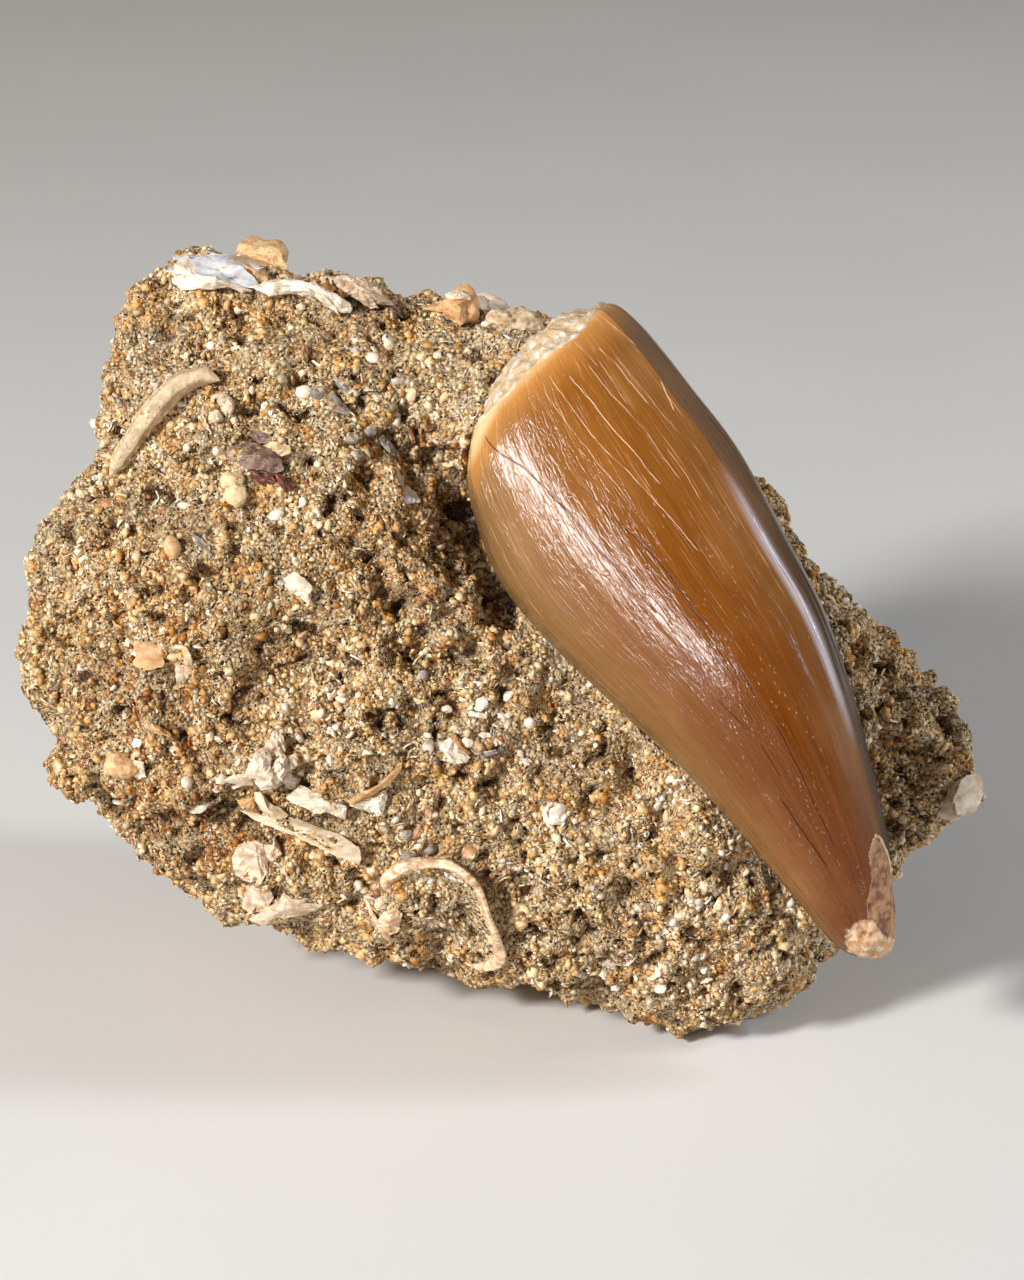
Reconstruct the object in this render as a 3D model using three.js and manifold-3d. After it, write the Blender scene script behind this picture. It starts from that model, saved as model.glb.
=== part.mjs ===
// A mosasaur tooth lying across a block of shelly sand rock, with the shells, bone and
// nodules that stand out of the rock. Millimetres, +Z up.
//
// The shapes are laid out on the block's shown face: u runs to the right, v up the face and
// w out of it. The face leans back from upright, and the block stands on a small flat spot.
// The part's origin is the middle of that spot.
import * as THREE from "three";
import { mergeVertices } from "three/addons/utils/BufferGeometryUtils.js";
import Module from "manifold-3d";

const wasm = await Module();
wasm.setup();

// --- Driving dimensions ---------------------------------------------------------------

const FACE_LEAN = THREE.MathUtils.degToRad(22); // the shown face leans back this far
const FACE_ORIGIN = new THREE.Vector3(-4, -1.8, 26.7); // where u, v and w are all 0
const FACE_CENTRE = { u: -1.5, v: -1 }; // the middle of the block's outline

const FRONT_DEPTH = 10.5; // from the block's widest line out to its face
const BACK_DEPTH = 20; // from the same line to its back
const BACK_TAPER = 0.17; // how much the back thins for each millimetre up
const FRONT_FULLNESS = 3; // 2 is a rounded face, higher is flatter with a tighter edge
const BACK_FULLNESS = 3.2;
const FOOT_FULLNESS = 7; // the block's underside stays full, so that it meets the floor
const BLOCK_DETAIL = 10;

const SOCKET_GAP = 0.3; // between a piece and the socket it sits in
const TOOTH_AROUND = 36;
const TOOTH_ALONG = 20;
const TOOTH_CAP_RINGS = 3; // rings on the broken base
const CHIP_DETAIL = 1; // of a small chip
const PLATE_DETAIL = 2; // of a chip with a half length over PLATE_LENGTH
const PLATE_LENGTH = 2.4;
const BAR_AROUND = 6;
const BAR_ALONG = 9;

const COLOURS = {
  sandRock: 0xb59b74,
  tooth: 0xa8622f,
  cream: 0xe6d3ad,
  white: 0xe9e2d6,
  honey: 0xd9a257,
  tan: 0xc29468,
  pink: 0xcfa893,
  grey: 0x9a958e,
  umber: 0x6f5347,
  rust: 0x7c3b24,
};

// --- The block's outline and relief ---------------------------------------------------

// The outline of the block seen square to its face, anticlockwise from the right corner.
const OUTLINE = [
  [35.5, -10.5], [34.4, -7.9], [33.8, -5.6], [31.4, -3.4], [29.5, -1.1], [27.6, 0.4],
  [25.7, 2.8], [23.9, 5.6], [21.6, 7.4], [20.0, 10.3], [18.0, 12.2], [14.1, 15.8],
  [10.4, 19.6], [6.6, 22.4], [2.9, 23.4], [1.4, 24.6], [-0.9, 25.0], [-4.9, 25.4],
  [-9.0, 25.6], [-10.5, 26.5], [-13.7, 27.4], [-16.7, 27.7], [-18.8, 28.2], [-21.5, 28.7],
  [-24.9, 29.0], [-27.2, 27.0], [-29.0, 24.4], [-30.2, 21.0], [-30.3, 17.3], [-31.3, 13.4],
  [-33.2, 10.7], [-35.2, 7.5], [-36.8, 4.1], [-36.3, 1.1], [-36.5, -1.9], [-36.0, -4.5],
  [-34.4, -7.1], [-34.2, -9.8], [-33.0, -11.9], [-30.5, -13.4], [-28.7, -14.4],
  [-27.2, -16.7], [-26.0, -18.2], [-23.0, -19.0], [-20.8, -20.9], [-18.8, -21.8],
  [-15.9, -22.2], [-12.5, -23.1], [-9.5, -24.0], [-6.2, -24.6], [-3.2, -25.3],
  [0.2, -25.9], [3.6, -26.9], [7.0, -27.7], [9.6, -28.2], [14.1, -28.9], [17.5, -28.2],
  [20.1, -26.9], [22.0, -25.7], [24.0, -23.1], [26.1, -19.9], [28.6, -16.7],
  [31.4, -14.9], [33.0, -13.1], [35.0, -11.9],
];

// Swellings (height above 0) and hollows of the face: [u, v, half length, half width,
// bearing of the length in degrees, height].
const FACE_LUMPS = [
  [-21, 5, 15, 11, 20, 2.6], // the broad mound on the left
  [-9, 0, 8, 8, 0, 1.4],
  [-3.2, 7.4, 5.6, 2.2, -62, -5.5], // the crevice beside the tooth
  [-16, -3.4, 6, 2.2, 25, -1.8],
  [-8, -9, 7, 3, 20, 1.2],
  [-20, -18.6, 15, 3.4, -24, -4.6], // below the ledge
  [-27, 23, 10, 6, 40, -3.2], // behind the rib bone
  [-7, 24, 8, 3, -5, -1.5],
  [1.5, 20.5, 4.5, 3.2, 35, 4.2], // rises to the tooth's base
  [15.5, -12.5, 12, 5, -60, 2.8], // banked against the tooth's lower half
  [29, -7, 8, 9, 0, -5.5], // the right shoulder, lower than the tooth
  [29, -12, 3.5, 3.5, 0, -1.6],
  [9, -17, 12, 7, -25, 1.6],
  [-12, -19.5, 6, 4, 0, 1.0],
];

// The same for the back, where height is out of the back.
const BACK_LUMPS = [
  [-18, 6, 12, 9, 30, 2.4],
  [12, -8, 11, 8, -30, 2.0],
  [-4, -2, 16, 2.6, 55, -2.6],
  [20, 2, 6, 5, 0, -2.2],
  [-8, 18, 9, 4, -15, 1.8],
  [-24, -6, 5, 6, 0, -2.0],
];

const outlineByBearing = new THREE.CatmullRomCurve3(
  OUTLINE.map(([u, v]) => new THREE.Vector3(u - FACE_CENTRE.u, v - FACE_CENTRE.v, 0)),
  true,
)
  .getPoints(900)
  .map((p) => ({ bearing: Math.atan2(p.y, p.x), radius: Math.hypot(p.x, p.y) }))
  .sort((a, b) => a.bearing - b.bearing);

// How far the outline lies from the face's centre in one direction.
function outlineRadius(bearing) {
  const after = outlineByBearing.findIndex((p) => p.bearing >= bearing);
  if (after <= 0) return outlineByBearing[0].radius;
  const [a, b] = [outlineByBearing[after - 1], outlineByBearing[after]];
  const share = (bearing - a.bearing) / Math.max(b.bearing - a.bearing, 1e-9);
  return THREE.MathUtils.lerp(a.radius, b.radius, share);
}

// The height that a list of lumps gives at a point of the face.
function relief(lumps, u, v) {
  return lumps.reduce((sum, [u0, v0, halfLength, halfWidth, degrees, height]) => {
    const turn = THREE.MathUtils.degToRad(degrees);
    const along = (u - u0) * Math.cos(turn) + (v - v0) * Math.sin(turn);
    const across = (v - v0) * Math.cos(turn) - (u - u0) * Math.sin(turn);
    return sum + height * Math.exp(-((along / halfLength) ** 2) - (across / halfWidth) ** 2);
  }, 0);
}

// Small rises and dips of a broken rock surface.
function ripple(u, v, w) {
  const broad = Math.sin(0.5 * u + 0.8 * v + 1.3) * Math.sin(0.75 * u - 0.4 * v + 0.5 * w);
  const fine = Math.sin(1.3 * u + 0.6 * w + 2.1) * Math.sin(1.2 * v - 0.8 * w + 0.9);
  return 0.55 * broad + 0.35 * fine;
}

const frontDepth = (u, v) => FRONT_DEPTH + relief(FACE_LUMPS, u, v);
const backDepth = (u, v) => BACK_DEPTH - BACK_TAPER * v + relief(BACK_LUMPS, u, v);

// The height of the block's face over its widest line.
function faceHeight(u, v) {
  const du = u - FACE_CENTRE.u;
  const dv = v - FACE_CENTRE.v;
  const share = Math.min(1, Math.hypot(du, dv) / outlineRadius(Math.atan2(dv, du)));
  const rounding = (1 - share ** FRONT_FULLNESS) ** (1 / FRONT_FULLNESS);
  return frontDepth(u, v) * rounding;
}

// --- Solids ---------------------------------------------------------------------------

// A closed shape made by moving every point of a sphere-like geometry.
function shapeFrom(geometry, place) {
  geometry.deleteAttribute("normal");
  geometry.deleteAttribute("uv");
  const merged = mergeVertices(geometry, 1e-5);
  const position = merged.getAttribute("position");
  const point = new THREE.Vector3();
  for (let i = 0; i < position.count; i++) {
    point.fromBufferAttribute(position, i);
    position.setXYZ(i, ...place(point.clone()).toArray());
  }
  return merged;
}

// A manifold-3d solid of a geometry, after a placing matrix.
function solidOf(geometry, matrix = new THREE.Matrix4()) {
  const placed = geometry.clone().applyMatrix4(matrix);
  return new wasm.Manifold(
    new wasm.Mesh({
      numProp: 3,
      vertProperties: new Float32Array(placed.getAttribute("position").array),
      triVerts: new Uint32Array(placed.index.array),
    }),
  );
}

// The largest body of a solid as a geometry.
function geometryOf(solid) {
  const body = solid.decompose().reduce((a, b) => (a.volume() > b.volume() ? a : b));
  const mesh = body.getMesh();
  return new THREE.BufferGeometry()
    .setAttribute("position", new THREE.BufferAttribute(mesh.vertProperties, 3))
    .setIndex(new THREE.BufferAttribute(mesh.triVerts, 1));
}

function meshOf(name, geometry, color, roughness) {
  const material = new THREE.MeshStandardMaterial({ color, roughness, metalness: 0 });
  const mesh = new THREE.Mesh(geometry, material);
  mesh.name = name;
  return mesh;
}

// A smooth value at position t of a list of rows of numbers.
function smoothRow(rows, t) {
  const last = rows.length - 1;
  const first = Math.min(Math.floor(t), last - 1);
  const f = t - first;
  const row = (i) => rows[THREE.MathUtils.clamp(i, 0, last)];
  return rows[0].map((_, k) => {
    const [a, b, c, d] = [-1, 0, 1, 2].map((step) => row(first + step)[k]);
    const bend = 2 * a - 5 * b + 4 * c - d + f * (3 * b - a - 3 * c + d);
    return b + 0.5 * f * (c - a + f * bend);
  });
}

// --- The block ------------------------------------------------------------------------

// The whole block on its face frame, before anything is cut from it.
function blockGeometry() {
  return shapeFrom(new THREE.IcosahedronGeometry(1, BLOCK_DETAIL), (p) => {
    const across = Math.hypot(p.x, p.y);
    const bearing = Math.atan2(p.y, p.x);
    const down = Math.max(0, -p.y / Math.max(across, 1e-6)) ** 2;
    const back = THREE.MathUtils.lerp(BACK_FULLNESS, FOOT_FULLNESS, down);
    const fullness = p.z > 0 ? FRONT_FULLNESS : back;
    const swell = (across ** fullness + Math.abs(p.z) ** fullness) ** (-1 / fullness);
    const u = FACE_CENTRE.u + outlineRadius(bearing) * swell * p.x;
    const v = FACE_CENTRE.v + outlineRadius(bearing) * swell * p.y;
    const depth = p.z > 0 ? frontDepth(u, v) : backDepth(u, v);
    const w = depth * swell * p.z;
    const rough = ripple(u, v, w) * Math.min(1, 1.6 * Math.abs(p.z));
    return new THREE.Vector3(u, v, w).addScaledVector(p, rough);
  });
}

// --- The tooth ------------------------------------------------------------------------

// Stations from the broken base to the worn tip: left edge u and v, right edge u and v,
// the middle's height over the block's widest line, and half the thickness.
const TOOTH_STATIONS = [
  [-2.8, 15.2, 7.0, 24.8, 10.5, 6.6],
  [-3.2, 11.6, 9.5, 22.4, 11.6, 7.4],
  [-2.4, 7.9, 12.9, 18.0, 12.8, 7.9],
  [-0.5, 3.6, 16.2, 13.5, 13.8, 8.0],
  [3.2, -0.7, 19.5, 7.5, 14.5, 7.8],
  [7.7, -5.0, 22.1, 2.5, 15.0, 7.3],
  [12.0, -9.1, 24.0, -2.9, 15.0, 6.5],
  [15.9, -13.4, 25.5, -8.2, 14.4, 5.5],
  [19.6, -17.7, 26.8, -13.6, 13.4, 4.4],
  [21.8, -20.3, 27.4, -17.6, 12.5, 3.5],
  [23.5, -22.1, 27.7, -20.3, 11.8, 2.8],
  [25.2, -22.9, 27.5, -22.3, 11.2, 1.7],
  [26.5, -23.2, 26.5, -23.2, 10.9, 0],
];
const CARINA_ANGLE = THREE.MathUtils.degToRad(40); // where the front cutting edge runs
const REAR_CARINA_ANGLE = THREE.MathUtils.degToRad(215);
const CARINA_RISE = 0.07; // of the half width
const CARINA_SPREAD = 0.16; // in radians
const BASE_HOLLOW = 1.6; // depth of the pulp hollow in the base
const EVEN_BASE = 0.35; // stations over which the base edge rounds over
const EDGE_SHARE = 0.86; // of the section's squared width left at the edge itself

// How far the section stands out at an angle, with a sharp crest at both cutting edges.
function sectionReach(angle) {
  const crest = (at) => {
    const away = Math.abs(Math.atan2(Math.sin(angle - at), Math.cos(angle - at)));
    return CARINA_RISE * Math.exp(-away / CARINA_SPREAD);
  };
  return 1 + crest(CARINA_ANGLE) + crest(REAR_CARINA_ANGLE);
}

// A point of the tooth: station from 0 to the last, angle round it, share of the radius.
function toothPoint(station, angle, share, grow) {
  const [lu, lv, ru, rv, height, thick] = smoothRow(TOOTH_STATIONS, station);
  const across = new THREE.Vector3(ru - lu, rv - lv, 0);
  const half = across.length() / 2;
  across.normalize();
  const rounded = Math.sqrt(Math.min(1, station / EVEN_BASE + EDGE_SHARE));
  const reach = sectionReach(angle) * share * rounded;
  return new THREE.Vector3((lu + ru) / 2, (lv + rv) / 2, height)
    .addScaledVector(across, (half + grow) * reach * Math.cos(angle))
    .add(new THREE.Vector3(0, 0, (thick + grow) * reach * Math.sin(angle)));
}

// The tooth from a sphere whose rings become the base's cap and then the crown.
function toothGeometry(grow = 0) {
  const last = TOOTH_STATIONS.length - 1;
  const sphere = new THREE.SphereGeometry(1, TOOTH_AROUND, TOOTH_ALONG + TOOTH_CAP_RINGS);
  const toTip = new THREE.Vector3(0.5, -0.866, 0);
  return shapeFrom(sphere, (p) => {
    const ring = (Math.acos(THREE.MathUtils.clamp(p.y, -1, 1)) / Math.PI)
      * (TOOTH_ALONG + TOOTH_CAP_RINGS);
    const angle = Math.atan2(p.z, p.x);
    if (ring < TOOTH_CAP_RINGS - 0.01) {
      const share = ring / TOOTH_CAP_RINGS;
      const hollow = grow > 0 ? -grow : BASE_HOLLOW * (1 - share ** 2);
      return toothPoint(0, angle, share, grow).addScaledVector(toTip, hollow);
    }
    const along = (ring - TOOTH_CAP_RINGS) / TOOTH_ALONG;
    const point = toothPoint(along * last, angle, 1, grow);
    const beyond = grow > 0 ? grow * (2 * along - 1) : 0;
    return point.addScaledVector(toTip, beyond);
  });
}

// --- Pieces that stand out of the rock ------------------------------------------------

// A chip: a flattened lump with broken corners, bent if it is a piece of shell.
// size is its half length, half width and half thickness.
function chipGeometry({ size, corners = 0, bend = 0, seed = 0 }, grow = 0) {
  const [a, b, c] = size.map((half) => half + grow);
  const detail = size[0] > PLATE_LENGTH ? PLATE_DETAIL : CHIP_DETAIL;
  return shapeFrom(new THREE.IcosahedronGeometry(1, detail), (p) => {
    const bearing = Math.atan2(p.y, p.x);
    const broken = 1 + 0.13 * Math.sin(corners * bearing + seed) * Math.hypot(p.x, p.y)
      + 0.06 * Math.sin(5 * p.x + 7 * p.y + 3 * p.z + 2 * seed);
    const sag = bend * ((p.x * a) ** 2 + (p.y * b) ** 2);
    return new THREE.Vector3(p.x * a * broken, p.y * b * broken, p.z * c * broken - sag);
  });
}

// A curved bar: a rib, a shell seen edge on or a splinter. Its path is a list of
// [u, v, lift over the face], and its halfWidth and halfDepth swell in the middle.
function barGeometry({ path, halfWidth, halfDepth, ends = 0.55 }, grow = 0) {
  const curve = new THREE.CatmullRomCurve3(
    path.map(([u, v, lift]) => new THREE.Vector3(u, v, faceHeight(u, v) + lift)),
  );
  const outward = new THREE.Vector3(0, 0, 1);
  return shapeFrom(new THREE.SphereGeometry(1, BAR_AROUND, BAR_ALONG), (p) => {
    const along = Math.acos(THREE.MathUtils.clamp(p.y, -1, 1)) / Math.PI;
    const angle = Math.atan2(p.z, p.x);
    const forward = curve.getTangentAt(along);
    const side = new THREE.Vector3().crossVectors(outward, forward).normalize();
    const up = new THREE.Vector3().crossVectors(forward, side);
    const closing = Math.min(1, Math.sin(Math.PI * along) / 0.5) ** 0.5;
    const swell = THREE.MathUtils.lerp(ends, 1, Math.sin(Math.PI * along)) * closing;
    return curve
      .getPointAt(along)
      .addScaledVector(forward, grow * (2 * along - 1))
      .addScaledVector(side, (halfWidth * swell + grow * closing) * Math.cos(angle))
      .addScaledVector(up, (halfDepth * swell + grow * closing) * Math.sin(angle));
  });
}

// Chips are set on the face at [u, v], lifted over it, turned by spin in the face and then
// tipped by pitch about u and yaw about v, all in degrees.
const CHIPS = [
  { name: "oyster_shell", at: [-22.2, 27.4], lift: -0.6, size: [3.6, 3.0, 0.6],
    spin: -14, pitch: -66, yaw: 0, corners: 5, bend: -0.03, seed: 1, colour: "grey" },
  { name: "tan_stone", at: [-19.3, 28.9], lift: -6.0, size: [2.3, 1.9, 2.0],
    spin: 20, pitch: 0, yaw: 0, corners: 4, seed: 0.4, colour: "tan" },
  { name: "honey_shell", at: [-3.7, 24.7], lift: 1.2, size: [1.5, 1.4, 0.9],
    spin: -70, pitch: -20, yaw: 0, corners: 3, seed: 0.5, colour: "honey" },
  { name: "white_shell_chip", at: [-1.5, 25.1], lift: 0.4, size: [1.5, 0.75, 0.9],
    spin: -18, pitch: 0, yaw: 0, corners: 2, seed: 2, colour: "white" },
  { name: "porous_bone", at: [0.4, 23.3], lift: -0.6, size: [2.2, 0.9, 1.1],
    spin: -12, pitch: 0, yaw: 0, corners: 4, seed: 3, colour: "pink" },
  { name: "brown_nodule", at: [-18.5, 13.1], lift: 0.5, size: [2.0, 1.1, 0.95],
    spin: -8, pitch: 0, yaw: 0, corners: 3, seed: 0.2, colour: "umber" },
  { name: "red_nodule", at: [-16.2, 11.0], lift: 0.2, size: [1.2, 0.8, 0.75],
    spin: -55, pitch: 0, yaw: 0, corners: 3, seed: 1.7, colour: "rust" },
  { name: "cream_nodule", at: [-19.8, 10.9], lift: 0.1, size: [1.4, 1.15, 0.95],
    spin: 60, pitch: 0, yaw: 0, corners: 4, seed: 2.6, colour: "cream" },
  { name: "knob_shell", at: [-21.6, 17.0], lift: 0.4, size: [1.1, 0.95, 0.95],
    spin: 70, pitch: 0, yaw: 0, corners: 3, seed: 1.2, colour: "cream" },
  { name: "orange_shell", at: [-26.1, -1.2], lift: 0.0, size: [1.35, 1.15, 0.6],
    spin: 20, pitch: 8, yaw: -8, corners: 3, bend: 0.08, seed: 0.9, colour: "honey" },
  { name: "tan_pebble", at: [-24.5, 6.5], lift: 0.3, size: [0.95, 0.75, 0.75],
    spin: -40, pitch: 0, yaw: 0, corners: 2, seed: 2.2, colour: "tan" },
  { name: "white_flake", at: [-15.2, 3.8], lift: 0.1, size: [1.2, 0.95, 0.55],
    spin: -40, pitch: 12, yaw: 0, corners: 3, bend: 0.1, seed: 2.9, colour: "white" },
  { name: "grey_flake", at: [-8.3, 11.6], lift: 0.2, size: [1.7, 0.75, 0.6],
    spin: -62, pitch: 0, yaw: 14, corners: 2, bend: 0.05, seed: 1.9, colour: "grey" },
  { name: "white_crust", at: [-18.1, -9.1], lift: 0.5, size: [2.7, 1.7, 1.3],
    spin: 5, pitch: 0, yaw: 0, corners: 4, seed: 1.1, colour: "white" },
  { name: "upper_fan_shell", at: [-18.6, -17.0], lift: 0.8, size: [1.5, 2.1, 0.8],
    spin: 18, pitch: 0, yaw: -10, corners: 4, bend: 0.12, seed: 2.4, colour: "pink" },
  { name: "lower_fan_shell", at: [-16.9, -20.2], lift: 0.7, size: [2.7, 0.95, 0.7],
    spin: 6, pitch: 25, yaw: 0, corners: 3, bend: 0.06, seed: 0.3, colour: "pink" },
  { name: "pink_flake", at: [-9.1, -20.2], lift: 0.2, size: [1.6, 0.8, 0.6],
    spin: -58, pitch: 0, yaw: 0, corners: 3, seed: 0.6, colour: "pink" },
  { name: "white_spot_shell", at: [3.4, -12.5], lift: 0.0, size: [1.05, 0.9, 0.7],
    spin: 0, pitch: 0, yaw: 0, corners: 3, seed: 1.5, colour: "white" },
  { name: "corner_shell", at: [33.3, -11.6], lift: 0.5, size: [1.7, 1.0, 1.6],
    spin: 40, pitch: 0, yaw: 30, corners: 2, seed: 0.8, colour: "white" },
  { name: "ledge_pebble", at: [-28.6, -9.2], lift: 0.1, size: [1.5, 0.95, 0.8],
    spin: -12, pitch: 0, yaw: 0, corners: 3, seed: 2.0, colour: "tan" },
];

const BARS = [
  { name: "rib_bone", halfWidth: 0.95, halfDepth: 1.3, ends: 0.7, colour: "cream",
    path: [[-21.2, 18.9, 0.2], [-23.0, 19.3, 0.5], [-25.0, 18.1, 0.5], [-26.6, 16.2, 0.4],
      [-28.0, 14.2, 0.3], [-29.6, 11.9, 0]] },
  { name: "shell_ledge", halfWidth: 0.55, halfDepth: 1.5, ends: 0.5, colour: "cream",
    path: [[-18.6, 26.0, 1.0], [-16.2, 26.0, 0.9], [-13.8, 25.3, 0.6], [-11.8, 24.4, 0.2]] },
  { name: "top_shell_rim", halfWidth: 0.7, halfDepth: 1.0, ends: 0.5, colour: "pink",
    path: [[-13.6, 26.6, 1.2], [-11.6, 26.0, 1.0], [-9.2, 25.0, 0.8]] },
  { name: "crescent_shell", halfWidth: 0.6, halfDepth: 0.7, ends: 0.5, colour: "cream",
    path: [[-24.2, -0.6, 0.1], [-23.2, -1.6, 0.3], [-23.5, -3.1, 0.2]] },
  { name: "shell_blade", halfWidth: 0.95, halfDepth: 0.6, ends: 0.6, colour: "cream",
    path: [[-18.3, -12.1, 0.9], [-15.6, -13.4, 1.0], [-13.2, -14.6, 0.8],
      [-11.3, -15.6, 0.5]] },
  { name: "branch_shell", halfWidth: 0.5, halfDepth: 0.75, ends: 0.6, colour: "white",
    path: [[-14.6, -10.9, 0.6], [-12.9, -11.6, 0.5], [-11.2, -11.2, 0.5],
      [-9.7, -9.6, 0.4]] },
  { name: "arc_shell", halfWidth: 0.42, halfDepth: 1.1, ends: 0.75, colour: "cream",
    path: [[-8.9, -18.5, 0.3], [-8.2, -17.1, 0.4], [-6.2, -16.6, 0.5], [-4.2, -16.9, 0.5],
      [-2.5, -18.6, 0.5], [-1.4, -21.0, 0.4], [-0.7, -23.2, 0.4], [-1.7, -24.0, 0.3]] },
];

function placedChip(spec) {
  const [u, v] = spec.at;
  const chip = meshOf(spec.name, chipGeometry(spec), COLOURS[spec.colour], 0.6);
  chip.position.set(u, v, faceHeight(u, v) + spec.lift);
  chip.rotation.set(...[spec.pitch, spec.yaw, spec.spin].map(THREE.MathUtils.degToRad));
  return chip;
}

// --- Assembly -------------------------------------------------------------------------

const part = new THREE.Group();
const face = new THREE.Group();
face.position.copy(FACE_ORIGIN);
face.rotation.x = Math.PI / 2 - FACE_LEAN;
part.add(face);

const tooth = meshOf("mosasaur_tooth", toothGeometry(), COLOURS.tooth, 0.3);
face.add(tooth);
const chips = CHIPS.map(placedChip);
const bars = BARS.map((spec) =>
  meshOf(spec.name, barGeometry(spec), COLOURS[spec.colour], 0.6),
);
face.add(...chips, ...bars);
part.updateMatrixWorld(true);

// Each piece takes a socket a little larger than itself out of the block.
const sockets = [
  solidOf(toothGeometry(SOCKET_GAP), tooth.matrixWorld),
  ...CHIPS.map((spec, i) => solidOf(chipGeometry(spec, SOCKET_GAP), chips[i].matrixWorld)),
  ...BARS.map((spec, i) => solidOf(barGeometry(spec, SOCKET_GAP), bars[i].matrixWorld)),
];
const belowFloor = new THREE.BoxGeometry(200, 200, 50).translate(0, 0, -25);
belowFloor.deleteAttribute("normal");
belowFloor.deleteAttribute("uv");
const cut = [...sockets, solidOf(mergeVertices(belowFloor))].reduce(
  (block, cutter) => block.subtract(cutter),
  solidOf(blockGeometry(), face.matrixWorld),
);
part.add(meshOf("matrix_rock", geometryOf(cut), COLOURS.sandRock, 0.95));

export default part;
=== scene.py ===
"""The dressed model of a mosasaur tooth lying across a block of shelly sand rock.

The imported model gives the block, the tooth and the pieces that stand out of the block.
Sizes are written in millimetres on the block's shown face, and every mesh is written in
metres in the row's frame.
"""

import logging
import math
from collections.abc import Iterable
from dataclasses import dataclass, field
from enum import Enum
from itertools import pairwise

import bmesh
import bpy
import numpy as np
from bpy.types import Material, Mesh, Node, NodeSocket, Object
from mathutils import Matrix, Vector, noise
from mathutils.bvhtree import BVHTree


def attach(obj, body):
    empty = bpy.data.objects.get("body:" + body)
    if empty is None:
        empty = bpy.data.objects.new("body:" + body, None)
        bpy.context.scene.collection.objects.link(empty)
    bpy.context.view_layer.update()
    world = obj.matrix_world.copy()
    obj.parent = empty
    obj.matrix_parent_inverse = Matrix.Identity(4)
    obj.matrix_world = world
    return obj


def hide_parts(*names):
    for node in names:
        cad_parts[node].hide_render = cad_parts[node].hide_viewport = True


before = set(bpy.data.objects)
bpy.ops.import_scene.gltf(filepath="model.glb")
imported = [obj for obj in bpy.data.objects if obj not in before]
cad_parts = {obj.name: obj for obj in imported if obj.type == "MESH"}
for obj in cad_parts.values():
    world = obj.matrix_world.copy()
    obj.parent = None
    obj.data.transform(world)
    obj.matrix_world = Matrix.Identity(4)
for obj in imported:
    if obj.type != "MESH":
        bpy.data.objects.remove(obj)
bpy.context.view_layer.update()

LOG = logging.getLogger("mosasaur_tooth")
MM = 0.001
ROOT_BODY = "root"
TOOTH_NODE = "mosasaur_tooth"
BLOCK_NODE = "matrix_rock"
Pair = tuple[float, float]
Triple = tuple[float, float, float]
Colour = tuple[int, int, int]
Stops = tuple[tuple[float, Colour], ...]


# --- The shown face -------------------------------------------------------------------


@dataclass(frozen=True)
class Face:
    """The block's shown face: u runs right, v runs up it and w out of it, in mm."""

    origin: Triple = (-4.0, -1.8, 26.7)
    lean_degrees: float = 22.0

    def matrix(self) -> Matrix:
        """Return the turn and shift from face millimetres to the row's metres."""
        turn = Matrix.Rotation(math.radians(90 - self.lean_degrees), 4, "X")
        return Matrix.Scale(MM, 4) @ Matrix.Translation(self.origin) @ turn

    def to_row(self, points: np.ndarray) -> np.ndarray:
        """Turn face points in mm, one to a row of the array, into row points in m."""
        matrix = np.array(self.matrix())
        return points @ matrix[:3, :3].T + matrix[:3, 3]

    def from_row(self, points: np.ndarray) -> np.ndarray:
        """Turn row points in m, one to a row of the array, into face points in mm."""
        matrix = np.array(self.matrix().inverted())
        return points @ matrix[:3, :3].T + matrix[:3, 3]

    def out(self) -> Vector:
        """Return the direction that the face looks in."""
        return (self.matrix().to_3x3() @ Vector((0, 0, 1))).normalized()


FACE = Face()


# --- Mesh helpers ---------------------------------------------------------------------


def read_points(mesh: Mesh) -> np.ndarray:
    """Return a mesh's vertices as an array, one to a row."""
    points = np.empty(len(mesh.vertices) * 3)
    mesh.vertices.foreach_get("co", points)
    return points.reshape(-1, 3)


def read_normals(mesh: Mesh) -> np.ndarray:
    """Return a mesh's vertex normals as an array, one to a row."""
    normals = np.empty(len(mesh.vertices) * 3)
    mesh.vertices.foreach_get("normal", normals)
    return normals.reshape(-1, 3)


def write_points(mesh: Mesh, points: np.ndarray) -> None:
    """Move a mesh's vertices to an array of points."""
    mesh.vertices.foreach_set("co", np.ascontiguousarray(points, dtype=float).ravel())
    mesh.update()


def write_value(mesh: Mesh, name: str, values: np.ndarray) -> None:
    """Store one number a vertex under a name that a finish can read."""
    layer = mesh.attributes.new(name, "FLOAT", "POINT")
    layer.data.foreach_set("value", np.ascontiguousarray(values, dtype=float))


def mesh_from(name: str, points: np.ndarray, triangles: np.ndarray) -> Mesh:
    """Return a mesh of triangles from arrays of points and of point numbers."""
    mesh = bpy.data.meshes.new(name)
    mesh.vertices.add(len(points))
    mesh.vertices.foreach_set("co", points.ravel())
    mesh.loops.add(triangles.size)
    mesh.loops.foreach_set("vertex_index", triangles.ravel())
    mesh.polygons.add(len(triangles))
    mesh.polygons.foreach_set("loop_start", np.arange(0, triangles.size, 3))
    mesh.update(calc_edges=True)
    return mesh


def link_piece(name: str, mesh: Mesh) -> Object:
    """Make an object of a mesh, at the origin, and put it in the scene."""
    piece = bpy.data.objects.new(name, mesh)
    bpy.context.scene.collection.objects.link(piece)
    return piece


def shade_smooth(mesh: Mesh) -> None:
    """Set every face of a mesh smooth."""
    mesh.polygons.foreach_set("use_smooth", [True] * len(mesh.polygons))


def mesh_of(shape: bmesh.types.BMesh, name: str) -> Mesh:
    """Turn a bmesh into a mesh, and free it."""
    mesh = bpy.data.meshes.new(name)
    shape.to_mesh(mesh)
    shape.free()
    return mesh


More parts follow.
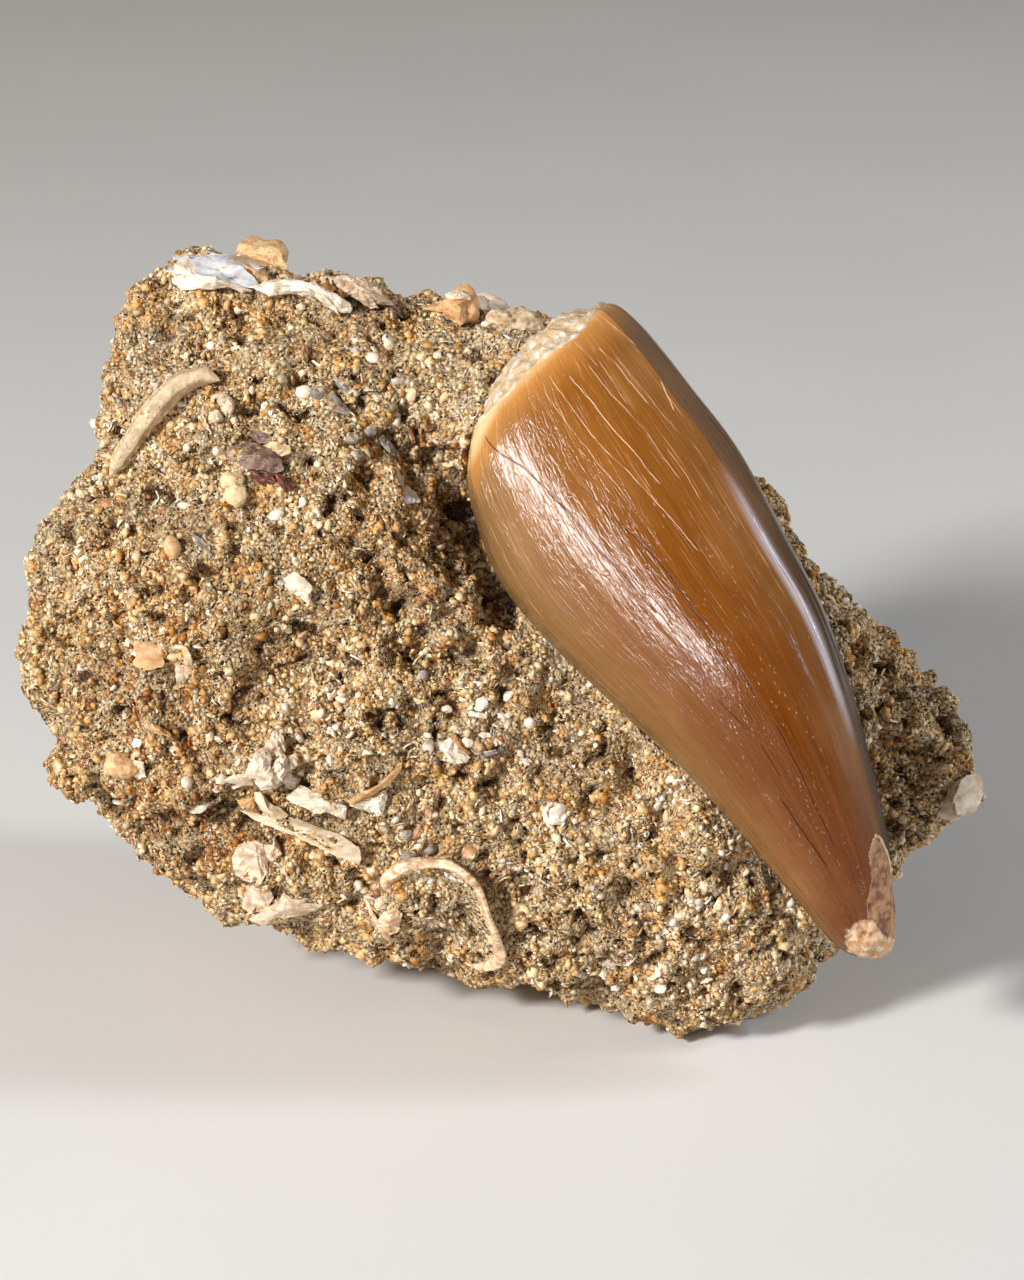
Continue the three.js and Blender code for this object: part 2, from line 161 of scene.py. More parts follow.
def count_triangles(piece: Object) -> int:
    """Return how many triangles a piece has."""
    return sum(len(polygon.vertices) - 2 for polygon in piece.data.polygons)


def hand_over(piece: Object, finish: Material, node: str = "") -> Object:
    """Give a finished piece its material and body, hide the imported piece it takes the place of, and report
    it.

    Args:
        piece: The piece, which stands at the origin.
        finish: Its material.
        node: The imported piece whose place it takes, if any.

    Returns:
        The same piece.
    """
    piece.data.materials.append(finish)
    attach(piece, ROOT_BODY)
    if node:
        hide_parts(node)
    LOG.info("%s: %d triangles", piece.name, count_triangles(piece))
    return piece


def merged_copy(nodes: list[str], name: str) -> Object:
    """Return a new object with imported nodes' meshes, their loose triangles joined up."""
    welded = bmesh.new()
    for node in nodes:
        welded.from_mesh(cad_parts[node].data)
    bmesh.ops.remove_doubles(welded, verts=welded.verts, dist=0.001 * MM)
    return link_piece(name, mesh_of(welded, name))


def even_mesh(piece: Object, voxel: float, smoothing: int) -> None:
    """Give a piece an even fine mesh with its corners eased.

    Args:
        piece: A closed mesh object, changed in place.
        voxel: Size of the new faces in mm.
        smoothing: How many times the points are drawn towards their neighbours.
    """
    remesh = piece.modifiers.new("even", "REMESH")
    remesh.mode = "VOXEL"
    remesh.voxel_size = voxel * MM
    ease = piece.modifiers.new("ease", "SMOOTH")
    ease.factor = 0.5
    ease.iterations = smoothing
    evaluated = piece.evaluated_get(bpy.context.evaluated_depsgraph_get())
    mesh = bpy.data.meshes.new_from_object(evaluated)
    piece.modifiers.clear()
    piece.data = mesh
    shade_smooth(mesh)


def fractal(points: np.ndarray, size: float, octaves: int, seed: float) -> np.ndarray:
    """Return soft random heights, about -1 to 1, at points in mm.

    Args:
        points: One point to a row, in mm.
        size: The spacing of the largest rises in mm.
        octaves: How many finer layers are added.
        seed: Shifts the pattern.

    Returns:
        One height for each point.
    """
    spots = points / size + seed
    return np.array([noise.fractal(spot, 0.8, 2.0, octaves) for spot in spots.tolist()])


def pits(points: np.ndarray, size: float, reach: float, share: float, seed: float) -> np.ndarray:
    """Return round hollows, 0 to 1 deep, scattered about a distance apart.

    Args:
        points: One point to a row, in mm.
        size: The spacing of the hollows in mm.
        reach: A hollow's radius as a share of the spacing.
        share: How many of the places have a hollow, 0 to 1.
        seed: Shifts the pattern.

    Returns:
        One depth for each point.
    """
    depths = np.zeros(len(points))
    for index, spot in enumerate((points / size + seed).tolist()):
        distances, centres = noise.voronoi(spot, distance_metric="DISTANCE")
        near = distances[0]
        if near < reach and noise.cell(centres[0] * 3.7) < share:
            depths[index] = 1 - (near / reach) ** 2
    return depths


def smooth_rows(table: tuple[tuple[float, ...], ...], place: np.ndarray) -> np.ndarray:
    """Return rows read off between the rows of a table, on a smooth curve.

    Args:
        table: Rows of numbers.
        place: Where to read, 0 at the first row and 1 more for each row.

    Returns:
        One row for each place.
    """
    rows = np.array(table)
    last = len(rows) - 1
    first = np.minimum(np.floor(place).astype(int), last - 1)
    f = (place - first)[:, None]
    a, b, c, d = (rows[np.clip(first + step, 0, last)] for step in (-1, 0, 1, 2))
    return b + 0.5 * f * (c - a + f * (2 * a - 5 * b + 4 * c - d + f * (3 * b - a - 3 * c + d)))


def unit_rows(vectors: np.ndarray) -> np.ndarray:
    """Return vectors, one to a row, at a length of 1."""
    return vectors / np.linalg.norm(vectors, axis=1)[:, None]


def smoothstep(values: np.ndarray, low: float, high: float) -> np.ndarray:
    """Return 0 below low, 1 above high, and a soft step between."""
    share = np.clip((values - low) / (high - low), 0, 1)
    return share * share * (3 - 2 * share)


# --- Signals and shaders --------------------------------------------------------------


def linear(colour: Colour) -> tuple[float, float, float, float]:
    """Turn a 0 to 255 display colour into the linear colour that a shader takes."""
    return (*(((c / 255 + 0.055) / 1.055) ** 2.4 if c > 10 else c / 3294.6 for c in colour), 1.0)


@dataclass(frozen=True)
class Signal:
    """A number, vector or colour that runs through a material and can be reckoned with."""

    shader: "Shader"
    socket: NodeSocket

    def __add__(self, other: object) -> "Signal":
        """Return this and another added."""
        return self.shader.math("ADD", self, other)

    def __sub__(self, other: object) -> "Signal":
        """Return this less another."""
        return self.shader.math("SUBTRACT", self, other)

    def __rsub__(self, other: object) -> "Signal":
        """Return another less this."""
        return self.shader.math("SUBTRACT", other, self)

    def __mul__(self, other: object) -> "Signal":
        """Return this times another."""
        return self.shader.math("MULTIPLY", self, other)

    def __abs__(self) -> "Signal":
        """Return this without its sign."""
        return self.shader.math("ABSOLUTE", self)

    def at_least(self, other: object) -> "Signal":
        """Return the larger of this and another."""
        return self.shader.math("MAXIMUM", self, other)

    def step(self, low: float, high: float, start: float = 0.0, end: float = 1.0) -> "Signal":
        """Return a soft step from start to end as this goes from low to high."""
        inputs = dict(enumerate((self, low, high, start, end)))
        return self.shader.make("ShaderNodeMapRange", inputs, interpolation_type="SMOOTHSTEP")

    def scaled(self, scale: Triple, shift: Triple = (0, 0, 0)) -> "Signal":
        """Return this vector stretched and then shifted."""
        return self.shader.make("ShaderNodeMapping", {"Vector": self, "Scale": scale, "Location": shift})

    def warped(self, scale: float, reach: float) -> "Signal":
        """Return this vector pushed about by soft random amounts."""
        push = self.shader.make("ShaderNodeTexNoise", {"Vector": self, "Scale": scale}, "Color")
        return self.shader.make("ShaderNodeVectorMath", {0: push, 1: (reach, reach, reach), 2: self},
                                operation="MULTIPLY_ADD")

    def painted(self, *coats: tuple[object, object]) -> "Signal":
        """Return this colour under coats that each have a share and a colour."""
        colour = self
        for share, coat in coats:
            colour = self.shader.mix(share, colour, coat)
        return colour

    def tinted(self, *coats: tuple[object, object]) -> "Signal":
        """Return this colour multiplied by coats that each have a share and a colour."""
        colour = self
        for share, coat in coats:
            colour = self.shader.mix(share, colour, coat, "MULTIPLY")
        return colour


class Shader:
    """Builds one material's nodes, a signal at a time."""

    def __init__(self, name: str, **surface: float) -> None:
        """Make the material and set numbers on its surface, such as Roughness=0.5."""
        self.material = bpy.data.materials.new(name)
        self.material.use_nodes = True
        self.tree = self.material.node_tree
        self.surface = self.tree.nodes["Principled BSDF"]
        for socket, value in surface.items():
            self.surface.inputs[socket.replace("_", " ")].default_value = value

    def feed(self, socket: NodeSocket, value: object) -> None:
        """Link a socket to a signal, or set a plain value on it."""
        if isinstance(value, Signal):
            self.tree.links.new(value.socket, socket)
        else:
            socket.default_value = value

    def add(self, kind: str, inputs: dict[int | str, object], **settings: object) -> Node:
        """Add a node, set its own options and feed its inputs by name or number."""
        node = self.tree.nodes.new(kind)
        for key, value in settings.items():
            setattr(node, key, value)
        for socket, value in inputs.items():
            self.feed(node.inputs[socket], value)
        return node

    def make(self, kind: str, inputs: dict[int | str, object], output: int | str = 0,
             **settings: object) -> Signal:
        """Add a node and return one of its outputs.

        Args:
            kind: The node's type.
            inputs: A signal or a plain value for each input, by its name or number.
            output: The output's name or number.
            settings: The node's own options.

        Returns:
            The output.
        """
        return Signal(self, self.add(kind, inputs, **settings).outputs[output])

    def place(self) -> Signal:
        """Return object coordinates in mm."""
        return self.make("ShaderNodeTexCoord", {}, "Object").scaled((1 / MM, 1 / MM, 1 / MM))

    def stored(self, name: str, output: str = "Fac") -> Signal:
        """Return a value stored on the mesh."""
        return self.make("ShaderNodeAttribute", {}, output, attribute_name=name)

    def noise(self, vector: Signal, scale: float, detail: float = 4, roughness: float = 0.55,
              distortion: float = 0) -> Signal:
        """Return soft random values, 0 to 1."""
        return self.make("ShaderNodeTexNoise", {"Vector": vector, "Scale": scale, "Detail": detail,
                                                "Roughness": roughness, "Distortion": distortion}, "Fac")

    def cells(self, vector: Signal, scale: float, output: str = "Distance") -> Signal:
        """Return the distance to the nearest of scattered points, or a colour for each."""
        return self.make("ShaderNodeTexVoronoi", {"Vector": vector, "Scale": scale}, output)

    def seams(self, vector: Signal, scale: float) -> Signal:
        """Return the distance to the nearest border between scattered cells."""
        return self.make("ShaderNodeTexVoronoi", {"Vector": vector, "Scale": scale}, "Distance",
                         feature="DISTANCE_TO_EDGE")

    def math(self, operation: str, first: object, second: object = 0.0) -> Signal:
        """Return the result of a sum on one or two values."""
        return self.make("ShaderNodeMath", {0: first, 1: second}, operation=operation)

    def span(self, value: Signal, low: float, high: float) -> Signal:
        """Return a share from 0 at low to 1 at high, kept between them."""
        return self.make("ShaderNodeMapRange", {0: value, 1: low, 2: high})

    def ramp(self, value: Signal, stops: Stops) -> Signal:
        """Return a colour that runs through the stops as a value goes from 0 to 1."""
        node = self.add("ShaderNodeValToRGB", {"Fac": value})
        elements = node.color_ramp.elements
        while len(elements) < len(stops):
            elements.new(0.5)
        for element, (position, colour) in zip(elements, stops):
            element.position = position
            element.color = linear(colour)
        return Signal(self, node.outputs["Color"])

    def mix(self, share: object, first: object, second: object, blend: str = "MIX") -> Signal:
        """Return two colours, each a signal or a display colour, blended by a share."""
        colours = [one if isinstance(one, Signal) else linear(one) for one in (first, second)]
        return self.make("ShaderNodeMix", {"Factor": share, 6: colours[0], 7: colours[1]}, 2,
                         data_type="RGBA", blend_type=blend)

    def bump(self, height: Signal, depth: float, under: Signal | None = None) -> Signal:
        """Return a normal bumped by a height whose full range is depth in mm."""
        inputs = {"Strength": 1.0, "Distance": depth * MM, "Height": height}
        if under is not None:
            inputs["Normal"] = under
        return self.make("ShaderNodeBump", inputs, "Normal")

    def dusted(self, place: Signal, colour: Signal, rough: Signal) -> tuple[Signal, Signal]:
        """Return a colour and a roughness with sand stuck on where the piece meets the block."""
        dust = self.stored("dust")
        grit = self.ramp(self.cells(place, 3.6, "Color"), SAND_STOPS)
        return colour.painted((dust, grit)), rough.at_least(dust * 0.85)

    def finish(self, colour: object, roughness: object, normal: Signal | None = None) -> Material:
        """Feed the surface and return the material."""
        self.feed(self.surface.inputs["Base Color"], colour)
        self.feed(self.surface.inputs["Roughness"], roughness)
        if normal is not None:
            self.feed(self.surface.inputs["Normal"], normal)
        return self.material


# --- Finishes -------------------------------------------------------------------------

SAND_STOPS: Stops = ((0.25, (150, 108, 62)), (0.5, (204, 176, 132)), (0.75, (236, 220, 186)))
BEDDING_TO_MM = 0.16
STAINS_TO_MM = 0.33


@dataclass(frozen=True)
class RockFinish:
    """Cemented sand: grains a third of a mm across in a grey and beige cement."""

    name: str = "sand_rock"
    painted_shade: Colour = (66, 34, 10)
    brown: Colour = (132, 86, 38)
    ochre: Colour = (180, 132, 70)
    beige: Colour = (206, 172, 120)
    pale: Colour = (232, 212, 176)
    grey: Colour = (172, 152, 122)
    rust: Colour = (206, 142, 66)
    pore_shade: Colour = (52, 28, 10)
    speck: Colour = (250, 242, 224)
    grains_to_mm: float = 3.4
    pores_to_mm: float = 2.9
    specks_to_mm: float = 3.1
    relief: float = 0.26

    def build(self) -> Material:
        """Return the block's material."""
        shader = Shader(self.name, Specular_IOR_Level=0.05)
        place = shader.place()
        warped = place.warped(1.6, 0.25)
        edge = shader.cells(warped, self.grains_to_mm)
        tint = shader.cells(warped, self.grains_to_mm, "Color")
        grit = shader.noise(place, 1.1, 5, 0.65)
        net = shader.seams(place.warped(2.2, 0.45), 2.4).step(0.08, 0.02) * grit.step(0.42, 0.55)
        pores = shader.cells(place, self.pores_to_mm).step(0.34, 0.24)
        pores = pores * shader.noise(place, 1.9, 2).step(0.44, 0.52)
        # Pale specks, partly shell grit and partly painted glints.
        specks = shader.cells(place.scaled((1, 1, 1), (5, 5, 5)), self.specks_to_mm)
        tones = ((0.22, self.brown), (0.42, self.ochre), (0.58, self.beige), (0.82, self.pale))
        # Painted shade darkens the gaps between the grains, the pores and the places stored as hollow.
        colour = shader.ramp(tint * 0.7 + grit * 0.45, tones).painted(
            (shader.noise(place, BEDDING_TO_MM, 3).step(0.44, 0.60) * 0.5, self.grey),
            (shader.noise(place, STAINS_TO_MM, 4, 0.6).step(0.54, 0.68, 0.0, 0.45), self.rust),
            (shader.stored("cement"), self.pale),
            (edge.step(0.42, 0.72, 0.0, 0.7), self.painted_shade),
            (net * 0.7, self.pale),
            (pores * 0.95, self.pore_shade),
            (specks.step(0.20, 0.13), self.speck),
            (shader.stored("hollow"), self.painted_shade),
        )
        height = grit * 0.6 - edge + net * 0.35 - pores
        return shader.finish(colour, 0.9, shader.bump(height, self.relief))


@dataclass(frozen=True)
class GrainFinish:
    """Loose grains: each one has its own tone, stored on the mesh."""

    name: str
    stops: Stops
    roughness: float = 0.5
    speckle: float = 3.0
    mottle: Colour = (150, 102, 50)
    bedding: Colour = (224, 216, 202)
    stain: Colour = (255, 220, 158)

    def build(self) -> Material:
        """Return the grains' material."""
        shader = Shader(self.name, Specular_IOR_Level=0.16)
        place = shader.place()
        mottled = shader.noise(place, self.speckle, 4, 0.6)
        colour = shader.ramp(shader.stored("tone"), self.stops).tinted(
            (0.6, shader.ramp(mottled, ((0.32, self.mottle), (0.56, (255, 255, 255))))),
            (shader.noise(place, BEDDING_TO_MM, 3).step(0.44, 0.60, 0.0, 0.6), self.bedding),
            (shader.noise(place, STAINS_TO_MM, 4, 0.6).step(0.48, 0.66, 0.0, 0.85), self.stain),
        )
        rough = mottled.step(0.2, 0.8, self.roughness - 0.15, self.roughness + 0.25)
        return shader.finish(colour, rough, shader.bump(mottled, 0.06))


@dataclass(frozen=True)
class ShellFinish:
    """Shell: growth bands, a chalky skin and brown stain in patches."""

    name: str
    light: Colour
    dark: Colour
    stain: Colour = (120, 84, 48)
    roughness: float = 0.45
    band_size: float = 0.5
    stained: float = 0.35

    def build(self) -> Material:
        """Return the shell's material."""
        shader = Shader(self.name, Specular_IOR_Level=0.3)
        place = shader.place()
        wobble = shader.noise(place, 1.2, 4, 0.6)
        band = shader.noise(place.scaled((0.35, 0.35, 1.0)), 1 / self.band_size, 3, 0.5, 0.4)
        dirt = wobble.step(0.62 - 0.3 * self.stained, 0.78 - 0.2 * self.stained)
        colour = shader.mix(band.step(0.35, 0.68), self.light, self.dark)
        colour = colour.painted((dirt * self.stained, self.stain))
        rough = wobble.step(0.3, 0.7, self.roughness, self.roughness + 0.3)
        height = band + shader.noise(place, 6, 3) * 0.4
        return shader.finish(*shader.dusted(place, colour, rough), shader.bump(height, 0.12))


@dataclass(frozen=True)
class NoduleFinish:
    """A worn phosphate grain or pebble, mottled and slightly glossy."""

    name: str
    light: Colour
    dark: Colour
    roughness: float = 0.35

    def build(self) -> Material:
        """Return the nodule's material."""
        shader = Shader(self.name, Specular_IOR_Level=0.3)
        place = shader.place()
        mottle = shader.noise(place, 1.4, 6, 0.62, 0.6)
        pores = shader.cells(place, 3.4)
        colour = shader.mix(mottle.step(0.38, 0.62), self.dark, self.light)
        colour = colour.painted((pores.step(0.02, 0.16, 0.6, 0.0), self.dark))
        rough = mottle.step(0.3, 0.7, self.roughness, self.roughness + 0.3)
        height = mottle + pores.step(0.0, 0.2)
        return shader.finish(*shader.dusted(place, colour, rough), shader.bump(height, 0.1))


@dataclass(frozen=True)
class FloorFinish:
    """The pale floor, with a faint unevenness."""

    name: str = "pale_floor"
    stops: Stops = ((0.3, (214, 212, 208)), (0.7, (218, 216, 212)))

    def build(self) -> Material:
        """Return the floor's material."""
        shader = Shader(self.name, Specular_IOR_Level=0.3)
        return shader.finish(shader.ramp(shader.noise(shader.place(), 0.02, 2), self.stops), 0.7)


@dataclass(frozen=True)
class Hairline:
    """A fine line on the crown through places given as side and length.

    The side is an angle in radians from the middle of the front, left negative, and the
    length is 0 at the base and 1 at the tip. The width is in radians.
    """

    places: tuple[Pair, ...]
    width: float
    overlap: float = 0.006

    def drawn_on(self, side: Signal, along: Signal, total: object) -> Signal:
        """Return a mask of this line laid over the masks of others."""
        for (from_side, from_length), (to_side, to_length) in pairwise(self.places):
            slope = (to_side - from_side) / (to_length - from_length)
            half = (to_length - from_length) / 2 + self.overlap
            away = abs(side - (along * slope + (from_side - slope * from_length)))
            beyond = abs(along - (from_length + to_length) / 2)
            mask = away.step(0.25 * self.width, self.width, 1.0, 0.0)
            mask = mask * beyond.step(0.75 * half, half, 1.0, 0.0)
            total = mask.at_least(total)
        return total


PALE_LINES = (
    Hairline(((0.185, 0.073), (0.245, 0.115), (0.26, 0.148), (0.32, 0.196), (0.345, 0.236)), 0.0055),
    Hairline(((0.02, 0.050), (0.075, 0.105), (0.12, 0.165), (0.21, 0.218), (0.27, 0.268), (0.32, 0.306)),
             0.0045),
    Hairline(((0.57, 0.070), (0.62, 0.095), (0.65, 0.153)), 0.0055),
    Hairline(((0.39, 0.080), (0.41, 0.118), (0.49, 0.173), (0.50, 0.243)), 0.0045),
    Hairline(((0.50, 0.085), (0.49, 0.140)), 0.004),
    Hairline(((0.81, 0.030), (0.87, 0.095)), 0.006),
    Hairline(((0.855, 0.148), (0.815, 0.173)), 0.006),
    Hairline(((0.39, 0.030), (0.46, 0.083)), 0.0035),
    Hairline(((0.57, 0.213), (0.56, 0.268)), 0.0035),
    Hairline(((-0.08, 0.060), (0.02, 0.160), (0.09, 0.240)), 0.003),
    Hairline(((0.66, 0.090), (0.72, 0.200)), 0.003),
)
DARK_LINES = (
    Hairline(((-0.80, 0.048), (-0.48, 0.135), (-0.40, 0.178), (-0.33, 0.211), (-0.29, 0.253),
              (-0.25, 0.293), (-0.23, 0.340)), 0.009),
    Hairline(((-0.035, 0.263), (0.03, 0.298), (0.035, 0.345), (0.03, 0.385)), 0.0075),
    Hairline(((-0.15, 0.198), (-0.08, 0.248)), 0.006),
    Hairline(((0.06, 0.506), (0.05, 0.549), (0.03, 0.599), (0.01, 0.642)), 0.0135),
    Hairline(((-0.32, 0.579), (-0.295, 0.617), (-0.255, 0.660)), 0.015),
    Hairline(((0.05, 0.429), (0.03, 0.461)), 0.009),
    Hairline(((-0.285, 0.454), (-0.21, 0.496)), 0.009),
    Hairline(((-0.185, 0.516), (-0.19, 0.549)), 0.009),
)


class CrownSignals:
    """What the enamel's colour, roughness and relief are all worked out from."""

    def __init__(self, shader: Shader) -> None:
        """Read what is stored on the crown, and make its streaks and cracks."""
        self.shader = shader
        self.place = shader.place()
        self.flow = shader.stored("flow", "Vector")
        self.side = shader.make("ShaderNodeSeparateXYZ", {0: self.flow}, "X")
        self.along = shader.make("ShaderNodeSeparateXYZ", {0: self.flow}, "Y")
        self.root, self.worn, self.stump = (shader.stored(name) for name in ("root", "worn", "stump"))
        self.streak = self.drawn_out((22, 5), detail=5, roughness=0.62)
        self.fine = self.drawn_out((105, 20), (3, 7), roughness=0.6)
        self.crumbs = shader.noise(self.place, 1.3, 5, 0.65)
        self.wavy = self.side + (self.drawn_out((2, 26), roughness=0.6) - 0.5) * 0.05
        self.cracks = self.lines(DARK_LINES)
        crazed = self.drawn_out((60, 6), (1, 2), detail=2).step(0.335, 0.30)
        self.crazed = crazed * self.along.step(0.04, 0.2, 0.15, 0.55)

    def drawn_out(self, scale: Pair, shift: Pair = (0, 0), detail: float = 3,
                  roughness: float = 0.55) -> Signal:
        """Return soft random values, scaled round and along the crown."""
        vector = self.flow.scaled((*scale, 1), (*shift, 0))
        return self.shader.noise(vector, 1.0, detail, roughness)

    def lines(self, lines: tuple[Hairline, ...]) -> Signal:
        """Return one mask of many hairlines."""
        total: object = 0.0
        for line in lines:
            total = line.drawn_on(self.wavy, self.along, total)
        return total


@dataclass(frozen=True)
class EnamelFinish:
    """Fossil enamel: streaks along the crown, fine lines, a worn tip and a root margin.

    The upper and lower stops run round the crown from left to right, near its base and
    further down it, and the lengthwise stops run from base to tip. Their dark right end is
    partly the flank's own mauve-grey and partly painted shade where the flank beyond the
    cutting edge turns from the light, and the beige band near the left end of the lower
    stops is a painted reflection of the sand.
    """

    name: str = "tooth_enamel"
    upper: Stops = (
        (0.00, (111, 86, 54)), (0.12, (131, 101, 63)), (0.28, (151, 110, 69)), (0.40, (149, 99, 47)),
        (0.52, (149, 92, 32)), (0.66, (151, 97, 40)), (0.75, (143, 97, 50)), (0.79, (149, 115, 86)),
        (0.88, (130, 101, 80)), (1.00, (92, 72, 58)),
    )
    lower: Stops = (
        (0.00, (120, 88, 50)), (0.09, (138, 104, 62)), (0.19, (138, 98, 52)), (0.30, (126, 77, 28)),
        (0.52, (124, 70, 16)), (0.66, (128, 79, 34)), (0.75, (118, 82, 44)), (0.80, (90, 67, 48)),
        (0.88, (64, 50, 38)), (1.00, (53, 43, 33)),
    )
    lengthwise: Stops = (
        (0.00, (255, 255, 250)), (0.20, (252, 248, 240)), (0.45, (250, 242, 230)), (0.62, (242, 226, 204)),
        (0.80, (232, 202, 140)), (1.00, (232, 202, 140)),
    )
    streaks: Stops = ((0.25, (214, 200, 186)), (0.5, (238, 232, 226)), (0.75, (255, 255, 252)))
    fine_streaks: Stops = ((0.3, (214, 202, 190)), (0.62, (255, 255, 255)))
    cloud: Colour = (196, 146, 96)
    base_glow: Colour = (206, 140, 72)
    base_band: Colour = (236, 200, 148)
    crack: Colour = (84, 34, 8)
    fine_crack: Colour = (110, 58, 26)
    growth_line: Colour = (238, 212, 176)
    thread: Colour = (226, 186, 138)
    painted_glint: Colour = (250, 236, 222)
    root: Colour = (196, 164, 124)
    root_chalk: Colour = (212, 204, 190)
    dentine: Colour = (184, 140, 100)
    dentine_dark: Colour = (122, 82, 58)
    stump: Colour = (222, 194, 160)
    stump_rust: Colour = (198, 146, 100)
    speck: Colour = (138, 58, 16)
    fleck: Colour = (236, 204, 164)
    painted_edge_sheen: Colour = (198, 190, 200)

    def body(self, crown: CrownSignals) -> Signal:
        """Return the enamel's colour, up to its specks and the pale margin at the base."""
        shader, side, along = crown.shader, crown.side, crown.along
        round_it = shader.span(side + crown.streak * 0.10, -1.47, 1.67)
        colour = shader.mix(along.step(0.10, 0.50), shader.ramp(round_it, self.upper),
                            shader.ramp(round_it, self.lower))
        colour = colour.tinted(
            (1.0, shader.ramp(along, self.lengthwise)),
            (0.8, shader.ramp(crown.streak, self.streaks)),
            (0.6, shader.ramp(crown.fine, self.fine_streaks)),
        )
        # A painted bluish highlight along the cutting edge, in the middle of the crown's length.
        edge_sheen_band = side.step(0.78, 0.86) * side.step(0.98, 0.90)
        edge_sheen_band = edge_sheen_band * along.step(0.24, 0.34) * along.step(0.58, 0.48)
        margin = along + crown.streak * 0.012 - side.step(-0.5, -1.1, 0.0, 0.05)
        return colour.painted(
            (crown.drawn_out((46, 64), (2, 3), roughness=0.6).step(0.62, 0.72) * 0.45, self.speck),
            (crown.drawn_out((60, 84), (8, 1), roughness=0.6).step(0.66, 0.76) * 0.45, self.fleck),
            (shader.noise(crown.place, 0.16, 3, 0.5).step(0.45, 0.75, 0.0, 0.12), self.cloud),
            (edge_sheen_band * crown.fine.step(0.3, 0.6, 0.35, 0.8), self.painted_edge_sheen),
            (margin.step(0.10, 0.015, 0.0, 0.7), self.base_glow),
            (margin.step(0.042, -0.004, 0.0, 0.95), self.base_band),
        )

    def lined(self, crown: CrownSignals, colour: Signal) -> Signal:
        """Return a colour with the growth lines, cracks, threads and painted glints over it."""
        pale = crown.lines(PALE_LINES) * crown.drawn_out((9, 40)).step(0.36, 0.52, 0.25, 1.0)
        thread = abs(crown.drawn_out((17, 1.1), (7, 3), 4, 0.5) - 0.5).step(0.010, 0.003)
        thread = thread * crown.fine.step(0.44, 0.60, 0.0, 0.45) * crown.along.step(0.50, 0.30)
        # Painted glints: pale specks over the middle of the crown that stand in for sparkles of light.
        painted_glints = crown.shader.cells(crown.flow.scaled((56, 88, 1), (5, 2, 0)), 1.0).step(0.20, 0.08)
        painted_glints = painted_glints * crown.drawn_out((6, 9), (1, 8), 4, 0.6).step(0.50, 0.60)
        painted_glints = painted_glints * crown.side.step(0.60, 0.25) * crown.side.step(-0.70, -0.40)
        return colour.painted(
            (pale * 0.7, self.growth_line),
            (crown.crazed * 0.6, self.fine_crack),
            (crown.cracks * 0.9, self.crack),
            (thread, self.thread),
            (painted_glints * crown.along.step(0.12, 0.34) * 0.55, self.painted_glint),
        )

    def broken(self, crown: CrownSignals, colour: Signal) -> Signal:
        """Return a colour with the root bone, the worn facet and the stump over it."""
        shader, crumbs = crown.shader, crown.crumbs
        return colour.painted(
            (crown.root, shader.mix(crumbs.step(0.46, 0.62), self.root, self.root_chalk)),
            (crown.worn, shader.mix(crumbs.step(0.38, 0.6), self.dentine_dark, self.dentine)),
            (crown.worn.step(0.02, 0.3) * crown.worn.step(0.98, 0.7) * 0.8, self.stump),
            (crown.stump, shader.mix(crumbs.step(0.40, 0.60), self.stump_rust, self.stump)),
        )

    def relief(self, crown: CrownSignals, rough_places: Signal) -> Signal:
        """Return the crown's normal, from its broad ridges to its finest pricks."""
        shader, place = crown.shader, crown.place
        crinkled = crown.drawn_out((5, 7), (4, 4)).step(0.38, 0.54, 0.2, 1.0)
        crinkled = crinkled * crown.side.step(0.35, -0.15, 0.12, 1.0)
        wrinkles = shader.seams(crown.flow.scaled((26, 34, 1)).warped(1.3, 0.9), 1.0)
        pricks = shader.cells(place.warped(2.0, 0.2), 4.2).step(0.26, 0.06)
        pricks = pricks * crown.along.step(0.22, 0.36) * crown.side.step(0.45, -0.05)
        normal = None
        for height, depth in (
            (crown.drawn_out((9, 2), (3, 1), 3, 0.5), 0.06),
            (crown.drawn_out((64, 4), (6, 2), 4, 0.6), 0.009),
            (crown.fine, 0.006),
            (wrinkles.step(0.0, 0.16) * crinkled, 0.016),
            (shader.noise(place, 5.5, 3, 0.6), 0.006),
            (shader.noise(place, 1.7, 2, 0.5), 0.014),
            (shader.cells(place, 2.4).step(0.26, 0.08) * crinkled, 0.02),
            (1.0 - crown.cracks.at_least(crown.crazed * 0.6), 0.05),
            (pricks * shader.noise(place, 0.9, 3, 0.6).step(0.46, 0.56), 0.022),
            (crown.crumbs * rough_places, 0.25),
        ):
            normal = shader.bump(height, depth, normal)
        return normal

    def build(self) -> Material:
        """Return the tooth's material."""
        shader = Shader(self.name, Specular_IOR_Level=0.28)
        crown = CrownSignals(shader)
        colour = self.broken(crown, self.lined(crown, self.body(crown)))
        rough_places = crown.root.at_least(crown.stump)
        matt_edge = crown.along.step(0.46, 0.58) * crown.side.step(0.5, 0.7, 0.0, 0.5)
        rough = crown.streak.step(0.3, 0.75, 0.09, 0.17) + rough_places * 0.4 + matt_edge
        return shader.finish(colour, rough, self.relief(crown, rough_places))


# --- The tooth ------------------------------------------------------------------------


